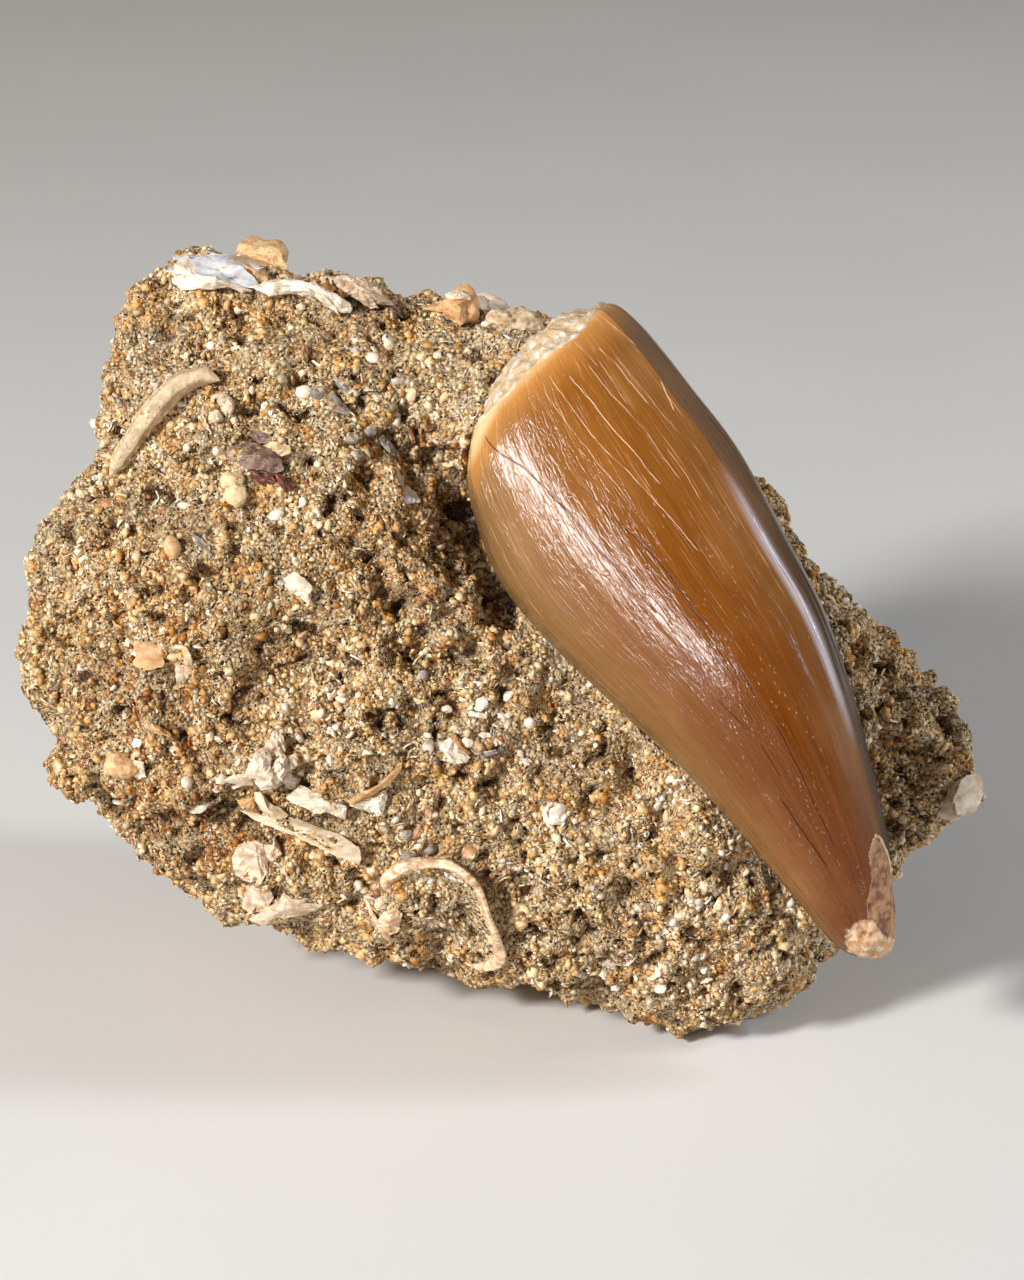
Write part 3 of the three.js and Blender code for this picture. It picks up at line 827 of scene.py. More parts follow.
@dataclass
class Tooth:
    """The crown from its broken base to its worn tip, with the root bone round the base.

    Each station gives the left edge u and v, the right edge u and v, the middle's height w
    and half the thickness, from the base to the tip.
    """

    stations: tuple[tuple[float, ...], ...] = (
        (-2.8, 15.2, 7.0, 24.8, 10.5, 6.6), (-3.2, 11.6, 9.5, 22.4, 11.6, 7.4),
        (-2.4, 7.9, 12.9, 18.0, 12.8, 7.9), (-0.5, 3.6, 16.2, 13.5, 13.8, 8.0),
        (3.2, -0.7, 19.5, 7.5, 14.5, 7.8), (7.7, -5.0, 22.1, 2.5, 15.0, 7.3),
        (12.0, -9.1, 24.0, -2.9, 15.0, 6.5), (15.9, -13.4, 25.5, -8.2, 14.4, 5.5),
        (19.6, -17.7, 26.8, -13.6, 13.4, 4.4), (21.8, -20.3, 27.4, -17.6, 12.5, 3.5),
        (23.5, -22.1, 27.7, -20.3, 11.8, 2.8), (25.2, -22.9, 27.5, -22.3, 11.2, 1.7),
        (26.5, -23.2, 26.5, -23.2, 10.9, 0.0),
    )
    around: int = 288
    lengthwise: int = 246
    cap_rings: int = 24
    carina: float = math.radians(40)
    rear_carina: float = math.radians(215)
    carina_rise: float = 0.07
    carina_spread: float = 0.12
    left_fullness: float = 0.8
    full_until: float = 1.8
    rim_length: float = 0.24
    rim_drop: float = 0.12
    base_hollow: float = 1.2
    base_swell: float = 1.9
    base_way: Triple = (0.5, -0.866, 0)
    facet_rise: float = 0.09
    ridge_rise: float = 0.035
    enamel_step: float = 0.14
    corner_wear: float = 0.075
    corner_length: float = 0.28
    corner_from: float = 0.55
    edge_sides: tuple[float, ...] = (-1.6, -0.5, -0.1, 0.06, 0.22, 0.48, 0.55, 0.8, 1.3, 1.8)
    edge_lengths: tuple[float, ...] = (0.93, 0.90, 0.84, 0.80, 0.755, 0.717, 0.675, 0.66, 0.70, 0.74)
    stump_lengths: tuple[float, ...] = (0.90, 0.79, 0.778, 0.782, 0.80, 0.85, 0.855, 0.865, 0.88, 0.89)

    def crest(self, angle: np.ndarray, at: float) -> np.ndarray:
        """Return how far a cutting edge lifts the section at each angle."""
        away = np.abs(np.arctan2(np.sin(angle - at), np.cos(angle - at)))
        return self.carina_rise * np.exp(-away / self.carina_spread)

    def surface(self, station: np.ndarray, angle: np.ndarray, share: np.ndarray) -> np.ndarray:
        """Return face points of the tooth before its relief.

        Args:
            station: Place along the tooth, from 0 to the last station.
            angle: Angle round the section in radians.
            share: Share of the section's radius, less than 1 on the base's cap.

        Returns:
            One face point in mm for each place.
        """
        rows = smooth_rows(self.stations, station)
        across = rows[:, 2:4] - rows[:, 0:2]
        half = np.linalg.norm(across, axis=1) / 2
        across = across / np.maximum(2 * half, 1e-6)[:, None]
        rim = 1 - np.minimum(1, station / self.rim_length)
        rounded = 1 - self.rim_drop * (1 - np.sqrt(1 - rim * rim))
        reach = 1 + self.crest(angle, self.carina) + self.crest(angle, self.rear_carina)
        fullness = self.left_fullness * np.exp(-(station / self.full_until) ** 2)
        power = 2 + np.where((np.cos(angle) < 0) & (np.sin(angle) > 0), fullness, 0)
        reach *= (np.abs(np.cos(angle)) ** power + np.abs(np.sin(angle)) ** power) ** (-1 / power)
        corner = np.exp(-(station / self.corner_length) ** 2)
        corner = corner * smoothstep(np.cos(angle), self.corner_from, 1.0)
        reach = reach * share * rounded * (1 - self.corner_wear * corner)
        points = np.empty((len(station), 3))
        points[:, :2] = (rows[:, 0:2] + rows[:, 2:4]) / 2 + across * (half * reach * np.cos(angle))[:, None]
        points[:, 2] = rows[:, 4] + rows[:, 5] * reach * np.sin(angle)
        return points

    def zones(self, place: np.ndarray, side: np.ndarray, along: np.ndarray) -> dict[str, np.ndarray]:
        """Return the shares of root bone, worn dentine and broken stump.

        Args:
            place: Face points in mm.
            side: Side angle in radians.
            along: Place along the crown, 0 to 1.

        Returns:
            A share for each point, under the names root, worn and stump.
        """
        wander = fractal(place, 2.2, 3, 6.0)
        scallop = np.abs(fractal(place, 1.1, 2, 8.0))
        crumbled = smoothstep(side, 0.0, 0.4) * (1 - smoothstep(side, 0.65, 0.95))
        root_reach = 0.004 + 0.016 * crumbled + 0.006 * wander
        worn_from = np.interp(side, self.edge_sides, self.edge_lengths) + 0.006 * wander
        stump_from = np.interp(side, self.edge_sides, self.stump_lengths) - 0.016 * scallop
        return {"root": 1 - smoothstep(along, root_reach, root_reach + 0.006),
                "worn": smoothstep(along, worn_from, worn_from + 0.004),
                "stump": smoothstep(along, stump_from, stump_from + 0.007)}

    def relief(self, place: np.ndarray, side: np.ndarray, along: np.ndarray,
               zones: dict[str, np.ndarray]) -> np.ndarray:
        """Return how far each point moves out, in mm.

        Args:
            place: Face points in mm.
            side: Side angle in radians.
            along: Place along the crown, 0 to 1.
            zones: What zones() returns.

        Returns:
            One height for each point.
        """
        root, worn, stump = zones["root"], zones["worn"], zones["stump"]
        flow = np.stack([side, along, np.zeros_like(side)], axis=1)
        facets = fractal(flow * (3.2, 3.0, 1), 1.0, 2, 4.0)
        ridges = fractal(flow * (11, 7, 1), 1.0, 3, 9.0)
        lumps = fractal(place, 1.3, 4, 2.0)
        holes = pits(place, 1.1, 0.42, 0.6, 5.0)
        crown = 1 - np.maximum(root, stump)
        height = crown * (self.facet_rise * facets + self.ridge_rise * ridges)
        height += root * (0.05 + 0.30 * lumps - 0.25 * holes)
        height -= self.enamel_step * worn * (1 - stump) + worn * 0.05 * lumps
        return height + stump * (0.22 * lumps - 0.16 * holes - 0.08)

    def build(self, finish: Material) -> Object:
        """Return the tooth as one closed mesh."""
        shape = bmesh.new()
        rings = self.lengthwise + self.cap_rings
        bmesh.ops.create_uvsphere(shape, u_segments=self.around, v_segments=rings, radius=1)
        mesh = mesh_of(shape, "tooth_crown")
        unit = read_points(mesh)
        ring = np.arccos(np.clip(unit[:, 2], -1, 1)) / math.pi * rings
        angle = np.arctan2(-unit[:, 1], unit[:, 0])
        along = np.clip((ring - self.cap_rings) / self.lengthwise, 0, 1)
        share = np.clip(ring / self.cap_rings, 0, 1)
        points = self.surface(along * (len(self.stations) - 1), angle, share)
        upper = smoothstep(np.sin(angle) * share, -0.1, 0.45)
        depth = self.base_hollow - (self.base_hollow + self.base_swell) * upper
        hollow = np.where(ring < self.cap_rings, depth * (1 - share ** 3), 0)
        points += hollow[:, None] * np.array(self.base_way)
        write_points(mesh, FACE.to_row(points))

        side = math.pi / 2 - angle
        side = np.arctan2(np.sin(side), np.cos(side))
        zones = self.zones(points, side, along)
        out = self.relief(points, side, along, zones)
        write_points(mesh, read_points(mesh) + read_normals(mesh) * (out * MM)[:, None])
        flow = mesh.attributes.new("flow", "FLOAT_VECTOR", "POINT")
        flow.data.foreach_set("vector", np.stack([side, along, np.zeros_like(side)], axis=1).ravel())
        for name, values in zones.items():
            write_value(mesh, name, values)
        shade_smooth(mesh)
        return hand_over(link_piece(mesh.name, mesh), finish, TOOTH_NODE)


# --- The block ------------------------------------------------------------------------


def tree_of(pieces: list[Object]) -> BVHTree:
    """Return a search tree over the meshes of several objects at the origin."""
    joined = bmesh.new()
    for piece in pieces:
        joined.from_mesh(piece.data)
    tree = BVHTree.FromBMesh(joined)
    joined.free()
    return tree


@dataclass(frozen=True)
class Groove:
    """A ragged groove in the shown face, along a path of u and v, in mm."""

    path: tuple[Pair, ...]
    half_width: float
    depth: float

    def hollow(self, place: np.ndarray) -> np.ndarray:
        """Return how deep the groove is at each face point, in mm."""
        away = np.full(len(place), 1e3)
        for start, end in pairwise(self.path):
            first, run = np.array(start), np.array(end) - np.array(start)
            share = np.clip((place[:, :2] - first) @ run / (run @ run), 0, 1)
            away = np.minimum(away, np.linalg.norm(place[:, :2] - first - share[:, None] * run, axis=1))
        near = np.flatnonzero(away < 2.2 * self.half_width)
        depth = np.zeros(len(place))
        ragged = away[near] - 0.45 * self.half_width * fractal(place[near], 1.3, 3, self.depth)
        depth[near] = self.depth * (1 - smoothstep(ragged, 0.25 * self.half_width, self.half_width))
        return depth * (place[:, 2] > 0)


GROOVES = (
    Groove(((-4.4, 12.0), (-3.2, 8.9), (-1.7, 5.8), (0.1, 2.6)), 2.1, 2.6),
    Groove(((-5.9, 13.4), (-8.1, 14.5)), 1.4, 1.2),
    Groove(((-12.8, 17.8), (-9.6, 14.5), (-7.0, 11.6)), 1.3, 1.0),
    Groove(((-8.7, -0.7), (-5.2, -1.6), (-2.8, -0.9)), 1.3, 1.3),
    Groove(((-15.6, 0.2), (-13.2, -0.9)), 1.1, 1.2),
    Groove(((-16.4, -12.2), (-14.8, -12.9), (-12.6, -13.5)), 0.8, 1.6),
    Groove(((-10.0, 6.0), (-8.2, 2.6)), 1.2, 1.0),
    Groove(((-7.2, -5.0), (-10.4, -6.6), (-13.0, -6.2)), 1.1, 1.1),
    Groove(((-31.5, -12.6), (-27.7, -14.2), (-24.0, -13.9), (-20.8, -13.2), (-17.5, -15.2),
            (-12.3, -17.2), (-9.8, -18.4)), 1.2, 1.9),
)


@dataclass
class RockBlock:
    """The block of cemented sand that holds every other piece.

    Sizes are in mm. A calm is the range of distances from a piece over which the relief
    grows to its full height, and a share is what is left of it beside the piece. A gap is
    how near to a piece the surface is tucked under it, and a seat is how far.
    """

    voxel: float = 0.385
    smoothing: int = 2
    lump_size: float = 5.0
    lump_rise: float = 1.30
    knob_size: float = 1.8
    knob_rise: float = 0.60
    hole_size: float = 2.6
    hole_depth: float = 0.80
    pore_size: float = 1.7
    pore_depth: float = 1.1
    porous_from: Pair = (19, 26)
    sunk: float = 0.25
    tooth_calm: Pair = (0.6, 2.2)
    tooth_share: float = 0.18
    small_calm: Pair = (0.2, 1.6)
    small_share: float = 0.35
    close_gap: float = 0.55
    search_past: float = 0.8
    seat: float = 0.12
    bare_gap: float = 0.42
    bare_seat: float = 0.5
    floor_clear: float = 0.25
    flat_below: float = 0.1
    pocket_size: float = 1.15
    pocket_depth: float = 0.75
    pocket_shares: Pair = (0.80, 0.93)
    pale_spot: Pair = (-1.5, 19.5)
    pale_reach: Pair = (2.0, 6.5)
    loose: np.ndarray = field(default_factory=lambda: np.empty(0))
    pockets: np.ndarray = field(default_factory=lambda: np.empty(0))
    piece: Object | None = None

    def relief(self, place: np.ndarray) -> np.ndarray:
        """Return the broken surface's height at face points, in mm."""
        right = smoothstep(place[:, 0], *self.porous_from)
        lumps = self.lump_rise * fractal(place, self.lump_size, 3, 1.0)
        lumps = lumps + self.knob_rise * fractal(place, self.knob_size, 3, 3.0)
        holes = self.hole_depth * pits(place, self.hole_size, 0.36, 0.42, 7.0)
        pores = self.pore_depth * right * pits(place, self.pore_size, 0.36, 0.75, 11.0)
        grooves = sum(groove.hollow(place) for groove in GROOVES)
        return lumps - holes - pores - grooves

    def distances(self, points: np.ndarray, tree: BVHTree, reach: float) -> np.ndarray:
        """Return each point's distance to a tree in mm, and no more than the reach."""
        away = np.full(len(points), reach)
        for index, point in enumerate(points.tolist()):
            distance = tree.find_nearest(point, reach * MM)[3]
            if distance is not None:
                away[index] = distance / MM
        return away

    def tuck(self, points: np.ndarray, normals: np.ndarray, tooth: BVHTree, bare: BVHTree) -> np.ndarray:
        """Move points that lie by the tooth or by a bare piece under its surface.

        Args:
            points: The block's points in m, changed in place.
            normals: Their normals.
            tooth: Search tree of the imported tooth.
            bare: Search tree of the small pieces that show their own bodies.

        Returns:
            Whether each point was moved.
        """
        seated = np.zeros(len(points), bool)
        for index, point in enumerate(points.tolist()):
            spot, normal, _, distance = tooth.find_nearest(point, (self.close_gap + self.search_past) * MM)
            if spot is None:
                continue
            inside = (Vector(point) - spot).dot(normal) < 0
            if inside or distance < self.close_gap * MM:
                points[index] = spot - normal * self.seat * MM
                seated[index] = True
        for index, point in enumerate(points.tolist()):
            if bare.find_nearest(point, self.bare_gap * MM)[0] is not None and not seated[index]:
                points[index] = points[index] - normals[index] * self.bare_seat * MM
                seated[index] = True
        return seated

    def build(self, finish: Material, tooth: BVHTree, small: BVHTree, bare: BVHTree,
              filled: list[str]) -> Object:
        """Make the block round the tooth, with sand filling the small pieces' sockets.

        Args:
            finish: The rock's material.
            tooth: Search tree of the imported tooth.
            small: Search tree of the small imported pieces.
            bare: Search tree of the small pieces that show their own bodies.
            filled: Names of the small pieces, whose sockets are filled.

        Returns:
            The block as one closed mesh.
        """
        block = merged_copy([BLOCK_NODE, *filled], "sand_block")
        even_mesh(block, self.voxel, self.smoothing)
        mesh = block.data
        points, normals = read_points(mesh), read_normals(mesh)
        height = points[:, 2] / MM
        by_tooth = smoothstep(self.distances(points, tooth, 4.0), *self.tooth_calm)
        by_small = smoothstep(self.distances(points, small, 2.0), *self.small_calm)
        free = self.tooth_share + (1 - self.tooth_share) * by_tooth
        free = free * (self.small_share + (1 - self.small_share) * by_small)
        place = FACE.from_row(points)
        uneven = fractal(place, self.pocket_size, 3, 55.0)
        self.pockets = smoothstep(uneven, *np.quantile(uneven, self.pocket_shares)) * free
        out = self.relief(place) * free - self.sunk - self.pocket_depth * self.pockets
        out *= smoothstep(height, 0.05, 1.6)
        points = points + normals * (out * MM)[:, None]
        seated = self.tuck(points, normals, tooth, bare)
        points[points[:, 2] < self.flat_below * MM, 2] = 0
        write_points(mesh, points)
        self.loose = ~seated & (points[:, 2] > self.floor_clear * MM)
        place = FACE.from_row(points)
        cement = smoothstep(fractal(place, 7.0, 3, 21.0), 0.1, 0.6) * 0.5
        away = np.linalg.norm(place[:, :2] - self.pale_spot, axis=1)
        near_base = 1 - smoothstep(away, *self.pale_reach)
        write_value(mesh, "cement", np.clip(cement * 0.4 + 0.5 * near_base, 0, 1))
        # The dips of the relief and the pockets are stored as hollow, for the painted shade of the rock's
        # finish.
        write_value(mesh, "hollow", np.maximum(smoothstep(-out, 0.7, 1.7) * 0.5, 0.9 * self.pockets))
        self.piece = hand_over(block, finish, BLOCK_NODE)
        return block


# --- Grains ---------------------------------------------------------------------------


class GrainKind(Enum):
    """The shapes that loose sand is made of."""

    GRIT = "grit"
    SPECK = "speck"
    STONE = "stone"
    STICK = "stick"
    FLAKE = "flake"
    TUBE = "tube"


@dataclass(frozen=True)
class GrainShape:
    """One small triangle mesh that is repeated many times."""

    points: np.ndarray
    triangles: np.ndarray

    @classmethod
    def make(cls, kind: GrainKind, rng: np.random.Generator) -> "GrainShape":
        """Return a random shape of one kind, about 1 in half size.

        Args:
            kind: The kind of grain.
            rng: The random numbers to draw from.

        Returns:
            The shape.
        """
        shape = bmesh.new()
        jitter = 0.24
        if kind is GrainKind.GRIT:
            bmesh.ops.create_uvsphere(shape, u_segments=4, v_segments=2, radius=1.25)
        elif kind is GrainKind.SPECK:
            bmesh.ops.create_cone(shape, cap_ends=True, segments=3, radius1=1.15, radius2=0.0, depth=1.8)
        elif kind is GrainKind.STONE:
            bmesh.ops.create_cone(shape, cap_ends=True, segments=6, radius1=1.0, radius2=0.74, depth=1.5)
        elif kind is GrainKind.STICK:
            bmesh.ops.create_cone(shape, cap_ends=True, segments=3, radius1=0.22, radius2=0.14, depth=2)
            bmesh.ops.rotate(shape, verts=shape.verts, matrix=Matrix.Rotation(math.pi / 2, 3, "Y"))
            long_edges = [edge for edge in shape.edges if edge.calc_length() > 1]
            bmesh.ops.subdivide_edges(shape, edges=long_edges, cuts=1)
            bend = rng.uniform(-0.6, 0.6)
            for vert in shape.verts:
                vert.co.y += bend * vert.co.x ** 2
            jitter = 0.12
        elif kind is GrainKind.TUBE:
            bmesh.ops.create_cone(shape, cap_ends=False, segments=7, radius1=0.8, radius2=0.7, depth=1.5)
            bmesh.ops.solidify(shape, geom=shape.faces, thickness=0.3)
            jitter = 0.03
        else:
            bmesh.ops.create_grid(shape, x_segments=2, y_segments=2, size=1)
            for vert in shape.verts:
                x, y = vert.co.x, vert.co.y
                vert.co = (x * math.sqrt(1 - y * y / 2), y * math.sqrt(1 - x * x / 2) * 0.75, 0)
                vert.co.xy *= 1 + rng.uniform(-0.22, 0.22)
                vert.co.z = -0.38 * vert.co.xy.length_squared
            bmesh.ops.solidify(shape, geom=shape.faces, thickness=0.16)
            jitter = 0.0
        for vert in shape.verts:
            vert.co *= 1 + rng.uniform(-jitter, jitter)
        bmesh.ops.triangulate(shape, faces=shape.faces)
        bmesh.ops.recalc_face_normals(shape, faces=shape.faces)
        shape.verts.index_update()
        points = np.array([vert.co[:] for vert in shape.verts])
        triangles = np.array([[vert.index for vert in face.verts] for face in shape.faces])
        shape.free()
        return cls(points, triangles)


@dataclass(frozen=True)
class GrainLayer:
    """How one kind of grain is strewn over the block.

    The densities are grains to a square mm. Sizes are half lengths in mm. Flatness is
    the thickness as a share, tilt is how freely a grain turns, and sunk is how deep it
    sits as a share of its size.
    """

    name: str
    kind: GrainKind
    finish: str
    front: float
    back: float
    size: Pair
    flatness: float = 0.8
    narrow: float = 0.8
    tilt: float = 1.2
    sunk: float = 0.1
    tones: Pair = (0.2, 0.9)
    seed: int = 1
    in_patches: bool = False


@dataclass(frozen=True)
class StrewnGrains:
    """The grains of one layer, with a row for each grain in every array but the shapes.

    Each grain picks one of the shapes, and has its own turn, its size along its axes and
    its middle in m, and a tone.
    """

    shapes: list[GrainShape]
    pick: np.ndarray
    turn: np.ndarray
    scale: np.ndarray
    spots: np.ndarray
    tones: np.ndarray

    def join(self, name: str, run: np.ndarray) -> Object:
        """Return one piece made of a run of the grains."""
        points, triangles, values, used = [], [], [], 0
        for index, shape in enumerate(self.shapes):
            these = run[self.pick[run] == index]
            local = shape.points[None] * self.scale[these][:, None]
            placed = np.einsum("nij,nvj->nvi", self.turn[these], local) + self.spots[these][:, None]
            size = len(shape.points)
            offsets = used + np.arange(len(these)) * size
            points.append(placed.reshape(-1, 3))
            triangles.append((shape.triangles[None] + offsets[:, None, None]).reshape(-1, 3))
            values.append(np.repeat(self.tones[these], size))
            used += len(these) * size
        mesh = mesh_from(name, np.concatenate(points), np.concatenate(triangles))
        write_value(mesh, "tone", np.concatenate(values))
        return link_piece(name, mesh)


@dataclass
class GrainBed:
    """The block's surface, ready for grains to be strewn on it."""

    block: RockBlock
    shapes: int = 7
    stagger: float = 0.28
    lift_range: Pair = (-1.6, 1.1)
    pocket_thinning: float = 0.85
    mostly_small: float = 1.8
    clear_share: float = 0.35
    tilt_share: float = 0.6
    most_triangles: int = 190_000

    def faces(self) -> tuple[np.ndarray, np.ndarray, np.ndarray]:
        """Return the corners, smooth normals and triangle rows of the open surface."""
        mesh = self.block.piece.data
        mesh.calc_loop_triangles()
        triangles = np.empty(len(mesh.loop_triangles) * 3, dtype=np.int32)
        mesh.loop_triangles.foreach_get("vertices", triangles)
        triangles = triangles.reshape(-1, 3)
        open_ones = self.block.loose[triangles].all(axis=1)
        return read_points(mesh), read_normals(mesh), triangles[open_ones]

    def chances(self, layer: GrainLayer, corners: np.ndarray, triangles: np.ndarray) -> np.ndarray:
        """Return how many grains of a layer each triangle of the open surface should get.

        Args:
            layer: What is strewn.
            corners: Each triangle's three corners in m.
            triangles: The same corners' numbers.

        Returns:
            One number, mostly below 1, for each triangle.
        """
        cross = np.cross(corners[:, 1] - corners[:, 0], corners[:, 2] - corners[:, 0])
        doubled = np.linalg.norm(cross, axis=1)
        facing = cross @ np.array(FACE.out()) / np.maximum(doubled, 1e-12)
        share = smoothstep(facing, -0.35, 0.05)
        expected = doubled / 2 / MM ** 2 * (layer.back + (layer.front - layer.back) * share)
        expected = expected * (1 - self.pocket_thinning * self.block.pockets[triangles].mean(axis=1))
        return expected * self.crowding(FACE.from_row(corners.mean(axis=1)), layer.in_patches)

    def strew(self, layer: GrainLayer, finish: Material, clear_of: BVHTree) -> list[Object]:
        """Strew one layer of grains.

        Args:
            layer: What to strew and how.
            finish: The grains' material.
            clear_of: Search tree of the pieces that grains don't cover.

        Returns:
            The pieces made, each short enough to keep every triangle.
        """
        rng = np.random.default_rng(layer.seed)
        points, normals, triangles = self.faces()
        corners = points[triangles]
        expected = self.chances(layer, corners, triangles)
        count = int(expected.sum())
        chosen = rng.choice(len(triangles), count, p=expected / expected.sum())
        spread = rng.dirichlet((1, 1, 1), count)[:, :, None]
        spots = (corners[chosen] * spread).sum(axis=1)
        outward = unit_rows((normals[triangles[chosen]] * spread).sum(axis=1))
        low, high = layer.size
        sizes = low * (high / low) ** (rng.random(count) ** self.mostly_small)
        reaches = (self.clear_share * sizes * MM).tolist()
        keep = [clear_of.find_nearest(spot, reach)[0] is None for spot, reach in zip(spots.tolist(), reaches)]
        spots, outward, sizes = spots[keep], outward[keep], sizes[keep]
        count = len(sizes)
        lean = unit_rows(outward + rng.normal(size=(count, 3)) * layer.tilt * self.tilt_share)
        first = unit_rows(np.cross(rng.normal(size=(count, 3)), lean))
        scale = np.stack([np.ones(count), layer.narrow * rng.uniform(0.8, 1.2, count),
                          layer.flatness * rng.uniform(0.75, 1.3, count)], axis=1) * sizes[:, None] * MM
        lift = np.clip(rng.normal(size=count), *self.lift_range)
        spots = spots + outward * (sizes * (self.stagger * lift - layer.sunk) * MM)[:, None]
        tones = self.tones(layer, FACE.from_row(spots), lift, rng)
        shapes = [GrainShape.make(layer.kind, rng) for _ in range(self.shapes)]
        pick = rng.integers(0, len(shapes), count)
        turn = np.stack([first, np.cross(lean, first), lean], axis=2)
        strewn = StrewnGrains(shapes, pick, turn, scale, spots, tones)
        most = self.most_triangles // len(shapes[0].triangles)
        pieces = []
        for part, start in enumerate(range(0, count, most), start=1):
            run = np.arange(start, min(start + most, count))
            pieces.append(hand_over(strewn.join(f"{layer.name}_{part}", run), finish))
        return pieces

    def crowding(self, place: np.ndarray, in_patches: bool) -> np.ndarray:
        """Return how thickly the grains lie at face points, as a share."""
        if not in_patches:
            return np.clip(1 + 1.5 * fractal(place, 3.4, 3, 41.0), 0.12, 1.8)
        crowded = np.zeros(len(place))
        for u, v, radius in COARSE_PATCHES:
            away = np.linalg.norm(place[:, :2] - (u, v), axis=1) / radius
            crowded = np.maximum(crowded, 1 - smoothstep(away, 0.4, 1.1))
        return crowded * np.clip(0.8 + 1.2 * fractal(place, 2.0, 3, 43.0), 0.0, 1.6)

    def tones(self, layer: GrainLayer, place: np.ndarray, lift: np.ndarray,
              rng: np.random.Generator) -> np.ndarray:
        """Return a tone from 0 to 1 for each grain, darker where it lies deep as painted shade."""
        low, high = layer.tones
        patch = fractal(place, 9.0, 2, 31.0)
        painted_light_and_shade = sum(change * np.exp(-((place[:, 0] - u) / radius) ** 2 - ((place[:, 1] - v) / radius) ** 2)
                      for u, v, radius, change in LIGHT_AND_SHADE_REGIONS)
        # Grains that sit low are painted darker, as shade between the grains.
        tones = low + painted_light_and_shade + (high - low) * rng.beta(1.5, 1.5, len(place)) + 0.10 * patch + 0.12 * lift
        return np.clip(tones, 0, 0.97)


# --- Pieces that stand out of the block -----------------------------------------------


class Skin(Enum):
    """How the surface of a worn piece is roughened."""

    SMOOTH = "smooth"
    LUMPY = "lumpy"
    POROUS = "porous"


@dataclass
class BlockHeights:
    """Knows how high the block's face stands, and sets shapes on it.

    Heights are read from a start above the face, in mm, over a few places a spread apart,
    and none is further off the usual height than the most.
    """

    tree: BVHTree
    tops: BVHTree
    start: float = 60.0
    spread: float = 0.35
    most_off: float = 2.2

    def height(self, u: float, v: float) -> float:
        """Return the block's face height w in mm at u and v, or no number beside the block."""
        start = Vector(FACE.to_row(np.array([[u, v, self.start]]))[0])
        spot = self.tops.ray_cast(start, -FACE.out(), 2 * self.start * MM)[0]
        return math.nan if spot is None else float(FACE.from_row(np.array([spot[:]]))[0, 2])

    def ground(self, places: Iterable[Pair]) -> np.ndarray:
        """Return the smoothed heights at many places, also just beside the block."""
        shifts = (-self.spread, 0, self.spread)
        steps = [(du, dv) for du in shifts for dv in shifts]
        near = np.array([[self.height(u + du, v + dv) for du, dv in steps] for u, v in places])
        usual = np.nanmean(near)
        near = np.where(np.isnan(near), usual, near)
        return np.clip(near.mean(axis=1), usual - self.most_off, usual + self.most_off)

    def seat(self, shape: bmesh.types.BMesh, middle: Triple, *turns: tuple[float, str]) -> None:
        """Turn a shape and set it on the block.

        Args:
            shape: A shape round the origin, in mm.
            middle: Its place u and v, and its height over the block.
            turns: Degrees and the axis of each turn. The last one is made first.
        """
        u, v, over = middle
        place = Matrix.Translation((u, v, float(self.ground([(u, v)])[0]) + over))
        for degrees, axis in turns:
            place = place @ Matrix.Rotation(math.radians(degrees), 4, axis)
        bmesh.ops.transform(shape, verts=shape.verts, matrix=place)

    def dust(self, mesh: Mesh, reach: float) -> None:
        """Store how much sand sticks to each point of a mesh.

        Args:
            mesh: The finished mesh of a piece that stands out of the block.
            reach: How far from the block the sand reaches, in mm.
        """
        points = read_points(mesh)
        patchy = fractal(FACE.from_row(points), 0.7, 3, 12.0)
        values = np.zeros(len(points))
        for index, point in enumerate(points.tolist()):
            distance = self.tree.find_nearest(point, 1.5 * reach * MM)[3]
            if distance is not None:
                values[index] = 1 - distance / MM / reach + 0.35 * patchy[index]
        write_value(mesh, "dust", smoothstep(values, 0.25, 0.75))


@dataclass(frozen=True)
class WornPiece:
    """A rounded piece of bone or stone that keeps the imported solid's shape."""

    node: str
    slot: str
    finish: str
    skin: Skin = Skin.LUMPY
    rough: float = 0.12
    grain: float = 1.0
    voxel: float = 0.12
    swell: float = 0.1
    dust_reach: float = 0.30

    def relief(self, place: np.ndarray) -> np.ndarray:
        """Return the skin's height at face points, in mm."""
        base = fractal(place, self.grain * 2.4, 3, 2.0) * self.rough
        if self.skin is Skin.SMOOTH:
            return base
        if self.skin is Skin.LUMPY:
            return base + fractal(place, self.grain, 3, 5.0) * self.rough * 0.8
        holes = pits(place, self.grain, 0.42, 0.8, 3.0)
        return base + fractal(place, self.grain * 0.7, 2, 4.0) * self.rough - holes * self.rough * 3

    def build(self, finishes: dict[str, Material], block: BlockHeights) -> Object:
        """Return the piece, roughened."""
        piece = merged_copy([self.node], f"{self.node}_worn")
        even_mesh(piece, self.voxel, 4)
        mesh = piece.data
        points, normals = read_points(mesh), read_normals(mesh)
        out = self.relief(FACE.from_row(points)) + self.swell
        write_points(mesh, points + normals * (out * MM)[:, None])
        block.dust(mesh, self.dust_reach)
        return hand_over(piece, finishes[self.finish], self.node)


